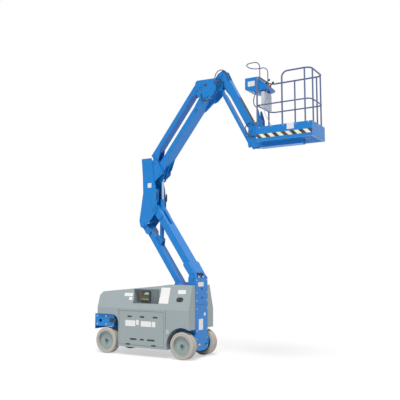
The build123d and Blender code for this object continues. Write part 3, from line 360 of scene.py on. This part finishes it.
def bolts(name, body, made, places, out, radius=0.009, height=0.007):
    """Hexagon heads on washers, all facing out."""
    shape = bmesh.new()
    step = Vector(out) * 0.002
    for centre in places:
        add_disc(shape, Vector(centre), out, radius * 1.5, 0.002, 20, 0.0004)
        add_disc(shape, Vector(centre) + step, out, radius, height, 6, 0.0008)
    add_piece(name, shape, made, body)


near = (0, -1, 0)
ahead = (1, 0, 0)
high = (0, 0, 1)
zinc_steel = finish("zinc_steel", (0.50, 0.51, 0.52), rough=(0.30, 0.5), dust=0.2, grain=600, metal=0.85)
label_thick = 0.0008
blank_vinyl = finish("blank_vinyl", (0.72, 0.72, 0.73), rough=(0.35, 0.5), dust=0.08, drift=0.06, bump=0.0001)


# Side covers, battery doors and slot tray: moulded grey plastic with a fine leathery grain. Blank plates are
# stuck on the doors and the upper facet, hinges and latches are screwed on, and vents are black slots of
# painted shade.
cover_grey = finish(
    "cover_grey", (0.270, 0.325, 0.345), rough=(0.45, 0.62), dust=0.14, drift=0.10, grain=900, bump=0.0005
)
dress(cover_grey, "side_cover_near", "side_cover_far", "battery_door_near", "battery_door_far", "slot_tray")
cover_y = 0.430
door_vent_z = 0.697
low_vent_z = 0.295
# Flat black: the own colour of real black parts, and painted shade where it fills holes, vents, slots and
# seams.
black_and_painted_shade = finish("black_and_painted_shade", (0.012, 0.013, 0.014), rough=(0.6, 0.8), dust=0.2, grain=500)
for side_name, sign in (("near", -1), ("far", 1)):
    out = (0, sign, 0)
    run = (-sign, 0, 0)
    # The black plates in the vent openings, high and low, are painted shade inside the vents.
    plates(
        f"door_vents_{side_name}",
        f"door_{side_name}",
        black_and_painted_shade,
        [((x, sign * cover_y, door_vent_z), run, high, 0.098, 0.030) for x in (-1.329, -1.053, -0.769)],
        thick=0.0015,
        corner=0.006,
    )
    plates(
        f"door_low_vents_{side_name}",
        f"door_{side_name}",
        black_and_painted_shade,
        [
            ((x, sign * cover_y, low_vent_z), run, high, width, 0.030)
            for x, width in ((-1.245, 0.15), (-1.05, 0.085), (-0.86, 0.16))
        ],
        thick=0.0015,
        corner=0.004,
    )
    plates(
        f"door_plates_{side_name}",
        f"door_{side_name}",
        blank_vinyl,
        [
            ((-1.315, sign * cover_y, 0.575), run, high, 0.225, 0.105),
            ((-1.155, sign * cover_y, 0.595), run, high, 0.060, 0.090),
            ((-0.965, sign * cover_y, 0.575), run, high, 0.225, 0.095),
            ((-0.800, sign * cover_y, 0.575), run, high, 0.075, 0.095),
        ],
        thick=label_thick,
        corner=0.003,
        edge=0.0002,
    )


def facet_spot(x, z):
    """Point on the sloping upper facet of the near cover."""
    return (x, -cover_y + facet_slope * (z - facet_foot_z), z)


facet_foot_z = 0.84
facet_slope = 0.3023
facet_up = (0, 0.2893, 0.9572)
plates(
    "facet_labels",
    "chassis",
    blank_vinyl,
    [
        (facet_spot(-1.410, 1.085), ahead, facet_up, 0.190, 0.060),
        (facet_spot(-1.350, 1.015), ahead, facet_up, 0.075, 0.055),
        (facet_spot(-0.264, 1.155), ahead, facet_up, 0.160, 0.070),
        (facet_spot(-0.616, 1.085), ahead, facet_up, 0.200, 0.290),
    ],
    thick=label_thick,
    corner=0.004,
    edge=0.0002,
)
# The black plate in the facet vent is painted shade inside the vent.
plates(
    "facet_vent",
    "chassis",
    black_and_painted_shade,
    [(facet_spot(-0.285, 1.022), ahead, facet_up, 0.145, 0.085)],
    thick=0.0012,
    corner=0.040,
)
plates(
    "charge_socket",
    "chassis",
    black_and_painted_shade,
    [((-1.745, -0.400, 0.600), ahead, high, 0.150, 0.080)],
    thick=0.0015,
    corner=0.010,
)
hinge_z = 0.203
for side_name, sign in (("near", -1), ("far", 1)):
    run = (-sign, 0, 0)
    shape = bmesh.new()
    for x in (-1.36, -0.80):
        add_plate(shape, (x, sign * cover_y, hinge_z), run, high, 0.090, 0.022, 0.005, 0.004, 0.001)
    add_piece(f"door_hinges_{side_name}", shape, black_and_painted_shade, f"door_{side_name}")
front_block_y = -0.400
bolts(
    "front_block_bolts",
    "chassis",
    zinc_steel,
    [(x, front_block_y, z) for x in (-2.110, -1.900) for z in (0.672, 0.522)],
    near,
    radius=0.012,
    height=0.009,
)
latch_x = -0.509
latch_z = 0.467
latch_thick = 0.004
shape = bmesh.new()
for sign in (-1, 1):
    run = (-sign, 0, 0)
    add_plate(shape, (latch_x, sign * cover_y, latch_z), run, high, 0.060, 0.075, latch_thick, 0.010, 0.001)
    knob = (latch_x, sign * (cover_y + latch_thick), latch_z)
    add_disc(shape, knob, (0, sign, 0), 0.016, 0.008, 24, 0.002)
add_piece("cover_latches", shape, zinc_steel, "chassis")


# Seams where each cover is split behind and ahead of its door: a shadowed groove, drawn as a thin dark strip
# that lies on the moulding.
for sign, side_name in ((-1, "near"), (1, "far")):
    plates(
        f"cover_seam_{side_name}",
        "chassis",
        black_and_painted_shade,
        [
            ((-0.545, sign * cover_y, 0.640), (-sign, 0, 0), high, 0.004, 0.390),
            ((-1.585, sign * cover_y, 0.780), (-sign, 0, 0), high, 0.004, 0.115),
        ],
        thick=label_thick,
        corner=0.001,
        edge=0,
    )


# Ground controls in the recess of the near cover: a key switch, a red stop button, three rows of coloured
# rocker switches and a blank label, screwed and stuck on the panel's near face.
signal_red = finish("signal_red", (0.60, 0.02, 0.015), rough=(0.25, 0.4), dust=0.05, coat=0.3)
signal_green = finish("signal_green", (0.05, 0.38, 0.08), rough=(0.3, 0.45), dust=0.05)
signal_yellow = finish("signal_yellow", (0.75, 0.55, 0.04), rough=(0.3, 0.45), dust=0.05)
controls_low, controls_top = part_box("ground_controls")
panel_y = controls_low.y
panel_x = (controls_low.x + controls_top.x) / 2
panel_z = (controls_low.z + controls_top.z) / 2


def buttons(name, body, made, places, out, radius, height, sides=24, edge=0.0015):
    """Round buttons, knobs or caps of one finish, all facing out."""
    shape = bmesh.new()
    for centre in places:
        add_disc(shape, centre, out, radius, height, sides, edge)
    add_piece(name, shape, made, body)


plates(
    "panel_label",
    "chassis",
    blank_vinyl,
    [((panel_x + 0.045, panel_y, panel_z + 0.065), ahead, high, 0.085, 0.040)],
    thick=label_thick,
    corner=0.002,
    edge=0,
)
buttons(
    "panel_stop",
    "chassis",
    signal_red,
    [(panel_x - 0.055, panel_y, panel_z + 0.058)],
    near,
    radius=0.019,
    height=0.022,
    sides=32,
    edge=0.006,
)
buttons(
    "panel_key",
    "chassis",
    zinc_steel,
    [(panel_x - 0.005, panel_y, panel_z + 0.055)],
    near,
    radius=0.011,
    height=0.010,
    edge=0.002,
)
rocker_pitch = 0.034
rocker_rows = (
    (signal_green, "green", -0.010),
    (signal_yellow, "yellow", -0.048),
    (black_and_painted_shade, "black", -0.082),
)
for made, colour_name, drop in rocker_rows:
    plates(
        f"panel_rockers_{colour_name}",
        "chassis",
        made,
        [
            ((panel_x + place * rocker_pitch, panel_y, panel_z + drop + 0.008), ahead, high, 0.018, 0.026)
            for place in (-2, -1, 0, 1, 2)
        ],
        thick=0.008,
        corner=0.003,
        edge=0.002,
    )


# Mast: a welded steel box. Its rear face carries blank plates, two holes, a seam and a slot, all black sheets
# of painted shade, and a reflector, with a row of bolts down each edge.
mast_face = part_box("mast")[1].x
across_mast = (0, 1, 0)
plates(
    "mast_labels",
    "chassis",
    blank_vinyl,
    [
        ((mast_face, -0.035, 1.285), across_mast, high, 0.190, 0.075),
        ((mast_face, -0.035, 0.583), across_mast, high, 0.150, 0.190),
        ((mast_face, 0.101, 0.754), across_mast, high, 0.055, 0.055),
    ],
    thick=label_thick,
    corner=0.004,
    edge=0.0002,
)
# The two holes are black discs of painted shade.
buttons(
    "mast_holes",
    "chassis",
    black_and_painted_shade,
    [(mast_face, 0, 1.204), (mast_face, 0, 1.047)],
    ahead,
    radius=0.024,
    height=0.001,
    sides=32,
    edge=0.0003,
)
# The seam and the slot are thin black sheets of painted shade.
plates(
    "mast_seam",
    "chassis",
    black_and_painted_shade,
    [
        ((mast_face, 0, 0.930), across_mast, high, 0.400, 0.005),
        ((mast_face, 0.150, 0.224), across_mast, high, 0.080, 0.024),
    ],
    thick=label_thick,
    corner=0.002,
    edge=0,
)
plates(
    "mast_reflector",
    "chassis",
    signal_yellow,
    [((mast_face, -0.090, 0.237), across_mast, high, 0.060, 0.030)],
    thick=0.004,
    corner=0.006,
    edge=0.001,
)
mast_bolt_z = (0.20, 0.34, 0.48, 0.86, 1.00, 1.14, 1.36)
bolts(
    "mast_end_bolts",
    "chassis",
    zinc_steel,
    [(mast_face, y, z) for z in mast_bolt_z for y in (-0.180, 0.180)],
    ahead,
)


# Pivots of the risers, the boom and the platform bracket: turned steel pins, each ending on both sides in a
# painted cap with a keeper plate and one bolt. The elbow's side plates have two round holes, drawn as black
# discs of painted shade.
def pin_caps(name, body, pins):
    """Cap, keeper and bolt at both ends of each pin: (x, z, half width over the pin, cap radius)."""
    shape = bmesh.new()
    for x, z, half, radius in pins:
        for sign in (-1, 1):
            out = (0, sign, 0)
            add_disc(shape, (x, sign * half, z), out, radius, 0.006, 32, 0.0015)
            keeper = (x, sign * (half - 0.005), z - radius - 0.012)
            add_plate(shape, keeper, (-sign, 0, 0), high, 0.044, 0.040, 0.006, 0.008)
            add_disc(shape, (x, sign * (half + 0.001), z - radius - 0.020), out, 0.008, 0.006, 6, 0.0008)
    add_piece(name, shape, blue_enamel, body)


pin_caps("mast_pin_caps", "chassis", [(-0.1274, 1.420, 0.209, 0.036)])
pin_caps(
    "mid_link_pin_caps",
    "mid_link",
    [
        (-0.9975, 2.7003, 0.167, 0.036),
        (-1.2325, 2.3803, 0.167, 0.034),
        (-0.8825, 3.3603, 0.150, 0.036),
        (-1.0025, 3.5603, 0.150, 0.034),
    ],
)
pin_caps("elbow_pin_caps", "elbow", [(0.1396, 4.6684, 0.167, 0.036), (0.0196, 4.8684, 0.167, 0.034)])
pin_caps("boom_pin_caps", "elbow", [(0.3826, 5.0304, 0.073, 0.034)])
pin_caps("bracket_pin_caps", "platform", [(0.9694, 3.9495, 0.087, 0.028), (0.9544, 3.7045, 0.087, 0.026)])

plate_side = 0.162
# Black discs of painted shade in the elbow's holes.
shape = bmesh.new()
for sign in (-1, 1):
    for x, z, radius in ((0.121, 4.871, 0.028), (-0.050, 4.790, 0.016)):
        add_disc(shape, (x, sign * plate_side, z), (0, sign, 0), radius, 0.0008, 32, 0.0002)
add_piece("elbow_holes", shape, black_and_painted_shade, "elbow")


# Mid link: two folded steel side plates between the lower and upper riser, each with one blank plate stuck on
# it and one slot cut through, drawn as a black sheet of painted shade.
for sign, side_name in ((-1, "near"), (1, "far")):
    run = (-sign, 0, 0)
    plates(
        f"mid_link_labels_{side_name}",
        "mid_link",
        blank_vinyl,
        [((-1.100, sign * plate_side, 3.118), run, high, 0.085, 0.085)],
        thick=label_thick,
        corner=0.003,
        edge=0,
    )
    # The slot is a black sheet of painted shade.
    plates(
        f"mid_link_slot_{side_name}",
        "mid_link",
        black_and_painted_shade,
        [((-0.930, sign * plate_side, 2.900), run, (0.25, 0, 1), 0.030, 0.150)],
        thick=label_thick,
        corner=0.014,
        edge=0,
    )


# Hose cover along the boom: a black moulded channel with ribs, strapped over the hoses from the boom's middle
# to its platform end.
def along(origin, angle, distance, offset, y):
    """Point on an arm: distance along it from origin (x, z), offset to its left, and y."""
    c = cos(radians(angle))
    q = sin(radians(angle))
    return Vector((origin[0] + distance * c - offset * q, y, origin[1] + distance * q + offset * c))


boom_foot = (0.3826, 5.0304)
boom_slope = -61.5
boom_run = (cos(radians(boom_slope)), 0, sin(radians(boom_slope)))
hose_black = finish("hose_black", (0.012, 0.013, 0.014), rough=(0.4, 0.6), dust=0.15, grain=500, bump=0.0006)
sleeve_start = 0.560
sleeve_end = 1.120
sleeve_length = sleeve_end - sleeve_start
sleeve_middle = (sleeve_start + sleeve_end) / 2
sleeve_offset = 0.105
rib_count = 12
rib_margin = 0.025
shape = bmesh.new()
spot = along(boom_foot, boom_slope, sleeve_middle, sleeve_offset, 0)
add_plate(shape, spot, boom_run, near, sleeve_length, 0.126, 0.038, 0.012, 0.008)
for rib in range(rib_count):
    ribbed = sleeve_end - sleeve_start - 2 * rib_margin
    distance = sleeve_start + rib_margin + rib * ribbed / (rib_count - 1)
    spot = along(boom_foot, boom_slope, distance, sleeve_offset, 0)
    add_plate(shape, spot, boom_run, near, 0.012, 0.129, 0.0415, 0.002, 0.003)
add_piece("boom_hose_cover", shape, hose_black, "boom")


# Wheels and tyres: pale solid rubber pressed on dished steel wheels. The tread is cut with shallow cross
# grooves at each shoulder, and each hub has a cap and a ring of nuts.
pale_rubber = finish(
    "pale_rubber", (0.40, 0.375, 0.335), rough=(0.75, 0.9), dust=0.35, drift=0.2, grain=700, bump=0.001
)
wheel_paint = finish("wheel_paint", (0.26, 0.33, 0.335), rough=(0.4, 0.55), dust=0.2)
dress(wheel_paint, "front_wheel_near", "front_wheel_far", "rear_wheel_near", "rear_wheel_far")
axle_steel = finish("axle_steel", (0.05, 0.055, 0.06), rough=(0.45, 0.6), dust=0.2)
dress(axle_steel, "rear_axle", "steering_knuckle_near", "steering_knuckle_far")
tyre_lugs = 30
steps_per_lug = 4
rim = 0.172
groove_start = 0.03
groove_depth = 0.007
hub_face = 0.045
nut_count = 5
nut_circle = 0.037
for tyre_name, body, sign in (
    ("front_tyre_near", "front_near", -1),
    ("front_tyre_far", "front_far", 1),
    ("rear_tyre_near", "rear_near", -1),
    ("rear_tyre_far", "rear_far", 1),
):
    low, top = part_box(tyre_name)
    hub = (low + top) / 2
    outer = (top.z - low.z) / 2
    half = (top.y - low.y) / 2
    outline = [
        (-half, rim),
        (-half, outer - 0.016),
        (-half + 0.005, outer - 0.005),
        (-half + 0.016, outer),
        (-0.028, outer),
        (0.028, outer),
        (half - 0.016, outer),
        (half - 0.005, outer - 0.005),
        (half, outer - 0.016),
        (half, rim + 0.012),
        (half - 0.010, rim),
    ]
    shape = bmesh.new()
    ring = [shape.verts.new((0, y, r)) for y, r in outline]
    edges = [shape.edges.new((ring[i], ring[(i + 1) % len(ring)])) for i in range(len(ring))]
    bmesh.ops.spin(
        shape,
        geom=ring + edges,
        cent=(0, 0, 0),
        axis=(0, 1, 0),
        angle=2 * pi,
        steps=tyre_lugs * steps_per_lug,
        use_merge=True,
        use_duplicate=False,
    )
    bmesh.ops.remove_doubles(shape, verts=shape.verts[:], dist=1e-5)
    bmesh.ops.recalc_face_normals(shape, faces=shape.faces[:])
    grooves = []
    for face in shape.faces:
        middle = face.calc_center_median()
        angle = Vector((middle.x, middle.z)).angle_signed(Vector((0, 1)))
        turn = int((angle / (2 * pi) + 0.5) * tyre_lugs * steps_per_lug)
        on_tread = (middle.x**2 + middle.z**2) ** 0.5 > outer - 0.004
        shoulder = half - 0.018 > abs(middle.y) > groove_start and on_tread
        if shoulder and turn % steps_per_lug == (0 if middle.y > 0 else 2):
            grooves.append(face)
    sunk = bmesh.ops.extrude_discrete_faces(shape, faces=grooves)["faces"]
    for face in sunk:
        middle = face.calc_center_median()
        inward = -Vector((middle.x, 0, middle.z)).normalized() * groove_depth
        bmesh.ops.translate(shape, vec=inward, verts=face.verts[:])
    bmesh.ops.translate(shape, vec=hub, verts=shape.verts[:])
    piece = mesh_piece(f"{tyre_name}_tread", shape)
    piece.data.materials.append(pale_rubber)
    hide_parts(tyre_name)
    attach(piece, body)

    shape = bmesh.new()
    face_y = hub.y + sign * hub_face
    add_disc(shape, (hub.x, face_y, hub.z), (0, sign, 0), 0.026, 0.012, 32, 0.004)
    for nut in range(nut_count):
        angle = nut * 2 * pi / nut_count
        spot = Vector((hub.x + nut_circle * cos(angle), face_y, hub.z + nut_circle * sin(angle)))
        add_disc(shape, spot, (0, sign, 0), 0.006, 0.006, 6, 0.0008)
    add_piece(f"{tyre_name}_hub_nuts", shape, axle_steel, body)


# Battery packs and the box of the ground controls: closed plastic cases, black behind the doors and dark grey
# in the recess of the near cover.
case_black = finish("case_black", (0.02, 0.022, 0.024), rough=(0.5, 0.65), dust=0.2)
dress(case_black, "battery_pack_near", "battery_pack_far")
panel_grey = finish("panel_grey", (0.10, 0.11, 0.10), rough=(0.45, 0.6), dust=0.1)
dress(panel_grey, "ground_controls")


# Hydraulic cylinders of the riser and the boom: painted steel barrels, and the ground, hard chromed rods that
# slide in them. The rods' colour is darkened and tinted blue as painted shade and a painted blue reflection.
dress(blue_enamel, "riser_cylinder_barrel", "boom_cylinder_barrel")
# Chrome darkened and tinted blue: painted shade and a painted blue reflection.
rod_chrome = finish("rod_chrome", (0.48, 0.52, 0.64), rough=(0.08, 0.2), dust=0.05, drift=0.03, metal=1.0)
dress(rod_chrome, "riser_cylinder_rod", "boom_cylinder_rod")


# Guard rails and entry bar: bent round tube in a duller blue enamel. A striped hazard strip and a blank plate
# are stuck on the near toe board.
rail_enamel = finish("rail_enamel", (0.085, 0.125, 0.260), rough=(0.35, 0.5), dust=0.15)
dress(rail_enamel, "guard_rails", "entry_bar")


stripe_pair = 0.155


def hazard_finish():
    """Black and cream slanted stripes, set by the place along the machine and the height."""
    made, tree, shader = material("hazard_stripes")
    new = tree.nodes.new
    link = tree.links.new
    place = new("ShaderNodeTexCoord")
    parts = new("ShaderNodeSeparateXYZ")
    slant = new("ShaderNodeMath")
    slant.operation = "ADD"
    pace = new("ShaderNodeMath")
    pace.operation = "DIVIDE"
    pace.inputs[1].default_value = stripe_pair
    saw = new("ShaderNodeMath")
    saw.operation = "FRACT"
    side_of = new("ShaderNodeMath")
    side_of.operation = "GREATER_THAN"
    side_of.inputs[1].default_value = 0.5
    wear = new("ShaderNodeGroup")
    wear.node_tree = surface_wear
    wear.inputs["Rough Low"].default_value = 0.4
    wear.inputs["Rough High"].default_value = 0.6
    wear.inputs["Drift"].default_value = 0.2
    wear.inputs["Dust Amount"].default_value = 0.2
    stripe = new("ShaderNodeMix")
    stripe.data_type = "RGBA"
    stripe.inputs["A"].default_value = (0.015, 0.016, 0.02, 1)
    stripe.inputs["B"].default_value = (0.78, 0.76, 0.56, 1)
    link(place.outputs["Object"], parts.inputs["Vector"])
    link(parts.outputs["X"], slant.inputs[0])
    link(parts.outputs["Z"], slant.inputs[1])
    link(slant.outputs["Value"], pace.inputs[0])
    link(pace.outputs["Value"], saw.inputs[0])
    link(saw.outputs["Value"], side_of.inputs[0])
    link(side_of.outputs["Value"], stripe.inputs["Factor"])
    link(stripe.outputs["Result"], wear.inputs["Colour"])
    link(wear.outputs["Colour"], shader.inputs["Base Color"])
    link(wear.outputs["Roughness"], shader.inputs["Roughness"])
    return made


floor_low, floor_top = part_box("platform_floor")
deck_z = floor_top.z
deck_middle = (floor_low.x + floor_top.x) / 2
deck_length = floor_top.x - floor_low.x
plates(
    "hazard_strip",
    "platform",
    hazard_finish(),
    [((deck_middle, floor_low.y, deck_z + 0.034), ahead, high, deck_length - 0.01, 0.066)],
    thick=0.0012,
    corner=0.002,
    edge=0.0003,
)
plates(
    "toe_plate_blank",
    "platform",
    blank_vinyl,
    [((1.795, floor_low.y, deck_z + 0.145), ahead, high, 0.125, 0.095)],
    thick=0.001,
    corner=0.003,
    edge=0.0002,
)


# Hoses and cables: black rubber hydraulic hoses in loops over the mast, at the elbow, around the boom's head,
# at its end and under the console, and one grey cable to the foot switch. Each keeps to its own body.
def cord(name, node_replaced, body, points, diameter, made):
    """A cord: a smooth spline through the route's control points, thick as the hose."""
    data = bpy.data.curves.new(name, "CURVE")
    data.dimensions = "3D"
    data.bevel_depth = diameter / 2
    data.bevel_resolution = 4
    data.resolution_u = 10
    data.use_fill_caps = True
    line = data.splines.new("NURBS")
    line.points.add(len(points) - 1)
    for held, (x, y, z) in zip(line.points, points):
        held.co = (x, y, z, 1)
    line.order_u = 3
    line.use_endpoint_u = True
    piece = bpy.data.objects.new(name, data)
    bpy.context.scene.collection.objects.link(piece)
    data.materials.append(made)
    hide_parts(node_replaced)
    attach(piece, body)


# A hose's spline rounds the corners of the line through its control points.
mast_hose_x = -0.0664
mast_hose_z = 1.4053
outer_arch = [(-105, 0), (-105, 30), (-92, 62), (-50, 84), (10, 84), (60, 60), (75, 30), (75, 0)]
inner_arch = [(-72, 0), (-72, 24), (-56, 44), (-22, 56), (14, 54), (38, 42), (46, 22), (46, 0)]
for name, arch in (("mast_hose_outer", outer_arch), ("mast_hose_inner", inner_arch)):
    route = [(mast_hose_x, y / 1000, mast_hose_z + rise / 1000) for y, rise in arch]
    cord(name, "base_hoses", "chassis", route, 0.014, hose_black)
elbow_pin = (0.1396, 4.6684)
elbow_loop = [
    (-110, 52),
    (-100, -18),
    (-30, -88),
    (60, -110),
    (150, -83),
    (222, -8),
    (248, 92),
    (222, 194),
    (160, 247),
]
route = [(elbow_pin[0] + dx / 1000, -0.1723, elbow_pin[1] + dz / 1000) for dx, dz in elbow_loop]
cord("elbow_hose", "elbow_hoses", "elbow", route, 0.020, hose_black)
head_ring = [
    (67, -168),
    (17, -130),
    (-43, -127),
    (-88, -98),
    (-120, -40),
    (-110, 30),
    (-62, 85),
    (2, 105),
    (67, 82),
    (117, 25),
    (142, -45),
    (165, -115),
]
route = [(boom_foot[0] + dx / 1000, -0.0733, boom_foot[1] + dz / 1000) for dx, dz in head_ring]
cord("boom_head_hose", "boom_hoses", "boom", route, 0.016, hose_black)
boom_tip = (0.9694, 3.9495)
end_loop = [(71, 90), (16, 126), (-54, 120), (-97, 60), (-89, -15), (-34, -85), (31, -112), (81, -112)]
route = [(boom_tip[0] + dx / 1000, -0.0903, boom_tip[1] + dz / 1000) for dx, dz in end_loop]
cord("boom_end_hose", "platform_cables", "platform", route, 0.016, hose_black)
rear_edge = 1.1824
console_run = [(-107, 856), (-137, 800), (-150, 730), (-142, 660), (-105, 610), (-77, 590), (-77, 561)]
route = [(rear_edge + dx / 1000, -0.076, deck_z + dz / 1000) for dx, dz in console_run]
cord("console_hose", "platform_cables", "platform", route, 0.016, hose_black)
switch_run = [
    (123, -120, 877.5),
    (121, -135, 800),
    (108, -162, 700),
    (88, -182, 580),
    (108, -192, 460),
    (158, -195, 350),
    (218, -190, 240),
    (258, -185, 150),
    (273, -180, 110),
    (273, -180, 51),
]
cable_grey = finish("cable_grey", (0.42, 0.46, 0.50), rough=(0.4, 0.6), dust=0.15, grain=500)
route = [(rear_edge + dx / 1000, y / 1000, deck_z + dz / 1000) for dx, y, dz in switch_run]
cord("switch_cable", "platform_cables", "platform", route, 0.010, cable_grey)

# Fittings at the mast, under the console and on the foot switch: plated steel sleeves crimped on the hose, on
# hexagon nuts.
mast_ends = [(mast_hose_x, y, mast_hose_z) for y in (-0.105, -0.072, 0.046, 0.075)]
ferrules = (
    ("mast_ferrules", "chassis", high, 0.011, mast_ends),
    ("console_ferrule", "platform", high, 0.011, [(rear_edge - 0.077, -0.076, deck_z + 0.561)]),
    ("switch_ferrule", "platform", high, 0.008, [(rear_edge + 0.273, -0.180, deck_z + 0.051)]),
)
for name, body, out, radius, places in ferrules:
    shape = bmesh.new()
    for centre in places:
        add_disc(shape, centre, out, radius * 1.25, radius * 0.9, 6, 0.001)
        add_disc(shape, Vector(centre) + Vector(out) * radius * 0.9, out, radius, radius * 1.6, 24, 0.0015)
    add_piece(name, shape, zinc_steel, body)


# Platform controls on the folded steel console: a pale plate on its rear face, and on the sloping desk two
# levers in rubber boots, a red stop button, three switches and a blank label.
console_low, console_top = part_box("console")
desk_up = Vector((-0.1500, 0, 0.1400)).normalized()
desk_out = Vector((0.1400, 0, 0.1500)).normalized()
desk_middle = Vector((rear_edge + 0.085, 0, deck_z + 0.860 + 0.130))


def desk_spot(across, up):
    """Point on the console's sloping desk, from its middle."""
    return desk_middle + Vector((0, 1, 0)) * across + desk_up * up


plates(
    "console_rear_plate",
    "platform",
    blank_vinyl,
    [((console_low.x, 0, console_top.z - 0.100), (0, -1, 0), high, 0.290, 0.170)],
    thick=0.002,
    corner=0.012,
)
plates(
    "console_side_labels",
    "platform",
    blank_vinyl,
    [
        ((rear_edge - 0.150, sign * 0.160, console_top.z - 0.110), (-sign, 0, 0), high, 0.130, 0.090)
        for sign in (-1, 1)
    ],
    thick=label_thick,
    corner=0.004,
    edge=0,
)
desk_thick = 0.003
plates(
    "console_desk",
    "platform",
    panel_grey,
    [(desk_spot(0, 0), (0, 1, 0), desk_up, 0.290, 0.180)],
    thick=desk_thick,
    corner=0.010,
    edge=0.001,
)
desk_face = desk_out * desk_thick
plates(
    "console_label",
    "platform",
    blank_vinyl,
    [(desk_spot(0.010, 0.068) + desk_face, (0, 1, 0), desk_up, 0.120, 0.030)],
    thick=0.0006,
    corner=0.003,
    edge=0,
)
boot_rings = 5
boot_ring_height = 0.006
shape = bmesh.new()
for across in (-0.085, 0.085):
    foot = desk_spot(across, -0.010) + desk_face
    for step in range(boot_rings):
        ring_foot = foot + desk_out * boot_ring_height * step
        add_disc(shape, ring_foot, desk_out, 0.027 - 0.004 * step, boot_ring_height, 32, 0.002)
    add_disc(shape, foot + desk_out * 0.030, desk_out, 0.006, 0.045, 24, 0.001)
    add_disc(shape, foot + desk_out * 0.070, desk_out, 0.017, 0.034, 32, 0.010)
add_piece("console_levers", shape, black_and_painted_shade, "platform")
buttons(
    "console_stop",
    "platform",
    signal_red,
    [desk_spot(0, -0.055) + desk_face],
    desk_out,
    radius=0.020,
    height=0.022,
    sides=32,
    edge=0.006,
)
buttons(
    "console_switches",
    "platform",
    zinc_steel,
    [desk_spot(across, 0.030) + desk_face for across in (-0.030, 0, 0.030)],
    desk_out,
    radius=0.007,
    height=0.020,
    sides=20,
    edge=0.002,
)


# Foot switch, document box and toe board bolts: a yellow tread lies on the black cast switch, the box is pale
# moulded plastic, and a row of small bolts runs along each folded toe board.
switch_low, switch_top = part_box("foot_switch")
switch_middle_y = (switch_low.y + switch_top.y) / 2
plates(
    "foot_switch_tread",
    "platform",
    signal_yellow,
    [((switch_low.x + 0.040, switch_middle_y, switch_top.z), ahead, (0, 1, 0), 0.065, 0.090)],
    thick=0.003,
    corner=0.008,
    edge=0.001,
)
box_plastic = finish("box_plastic", (0.55, 0.60, 0.68), rough=(0.4, 0.55), dust=0.1)
dress(box_plastic, "document_box")
dress(case_black, "foot_switch")
toe_low, toe_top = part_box("toe_boards")
toe_margin = 0.06
side_bolts = 5
end_bolts = 3
toe_step = (toe_top.x - toe_low.x - 2 * toe_margin) / (side_bolts - 1)
for sign, side_name in ((-1, "near"), (1, "far")):
    bolts(
        f"toe_bolts_{side_name}",
        "platform",
        zinc_steel,
        [
            (toe_low.x + toe_margin + toe_step * i, sign * toe_top.y, toe_top.z - 0.020)
            for i in range(side_bolts)
        ],
        (0, sign, 0),
        radius=0.006,
        height=0.005,
    )
end_step = (toe_top.y - toe_low.y - 2 * toe_margin) / (end_bolts - 1)
bolts(
    "toe_bolts_end",
    "platform",
    zinc_steel,
    [(toe_top.x, toe_low.y + toe_margin + end_step * i, toe_top.z - 0.020) for i in range(end_bolts)],
    ahead,
    radius=0.006,
    height=0.005,
)
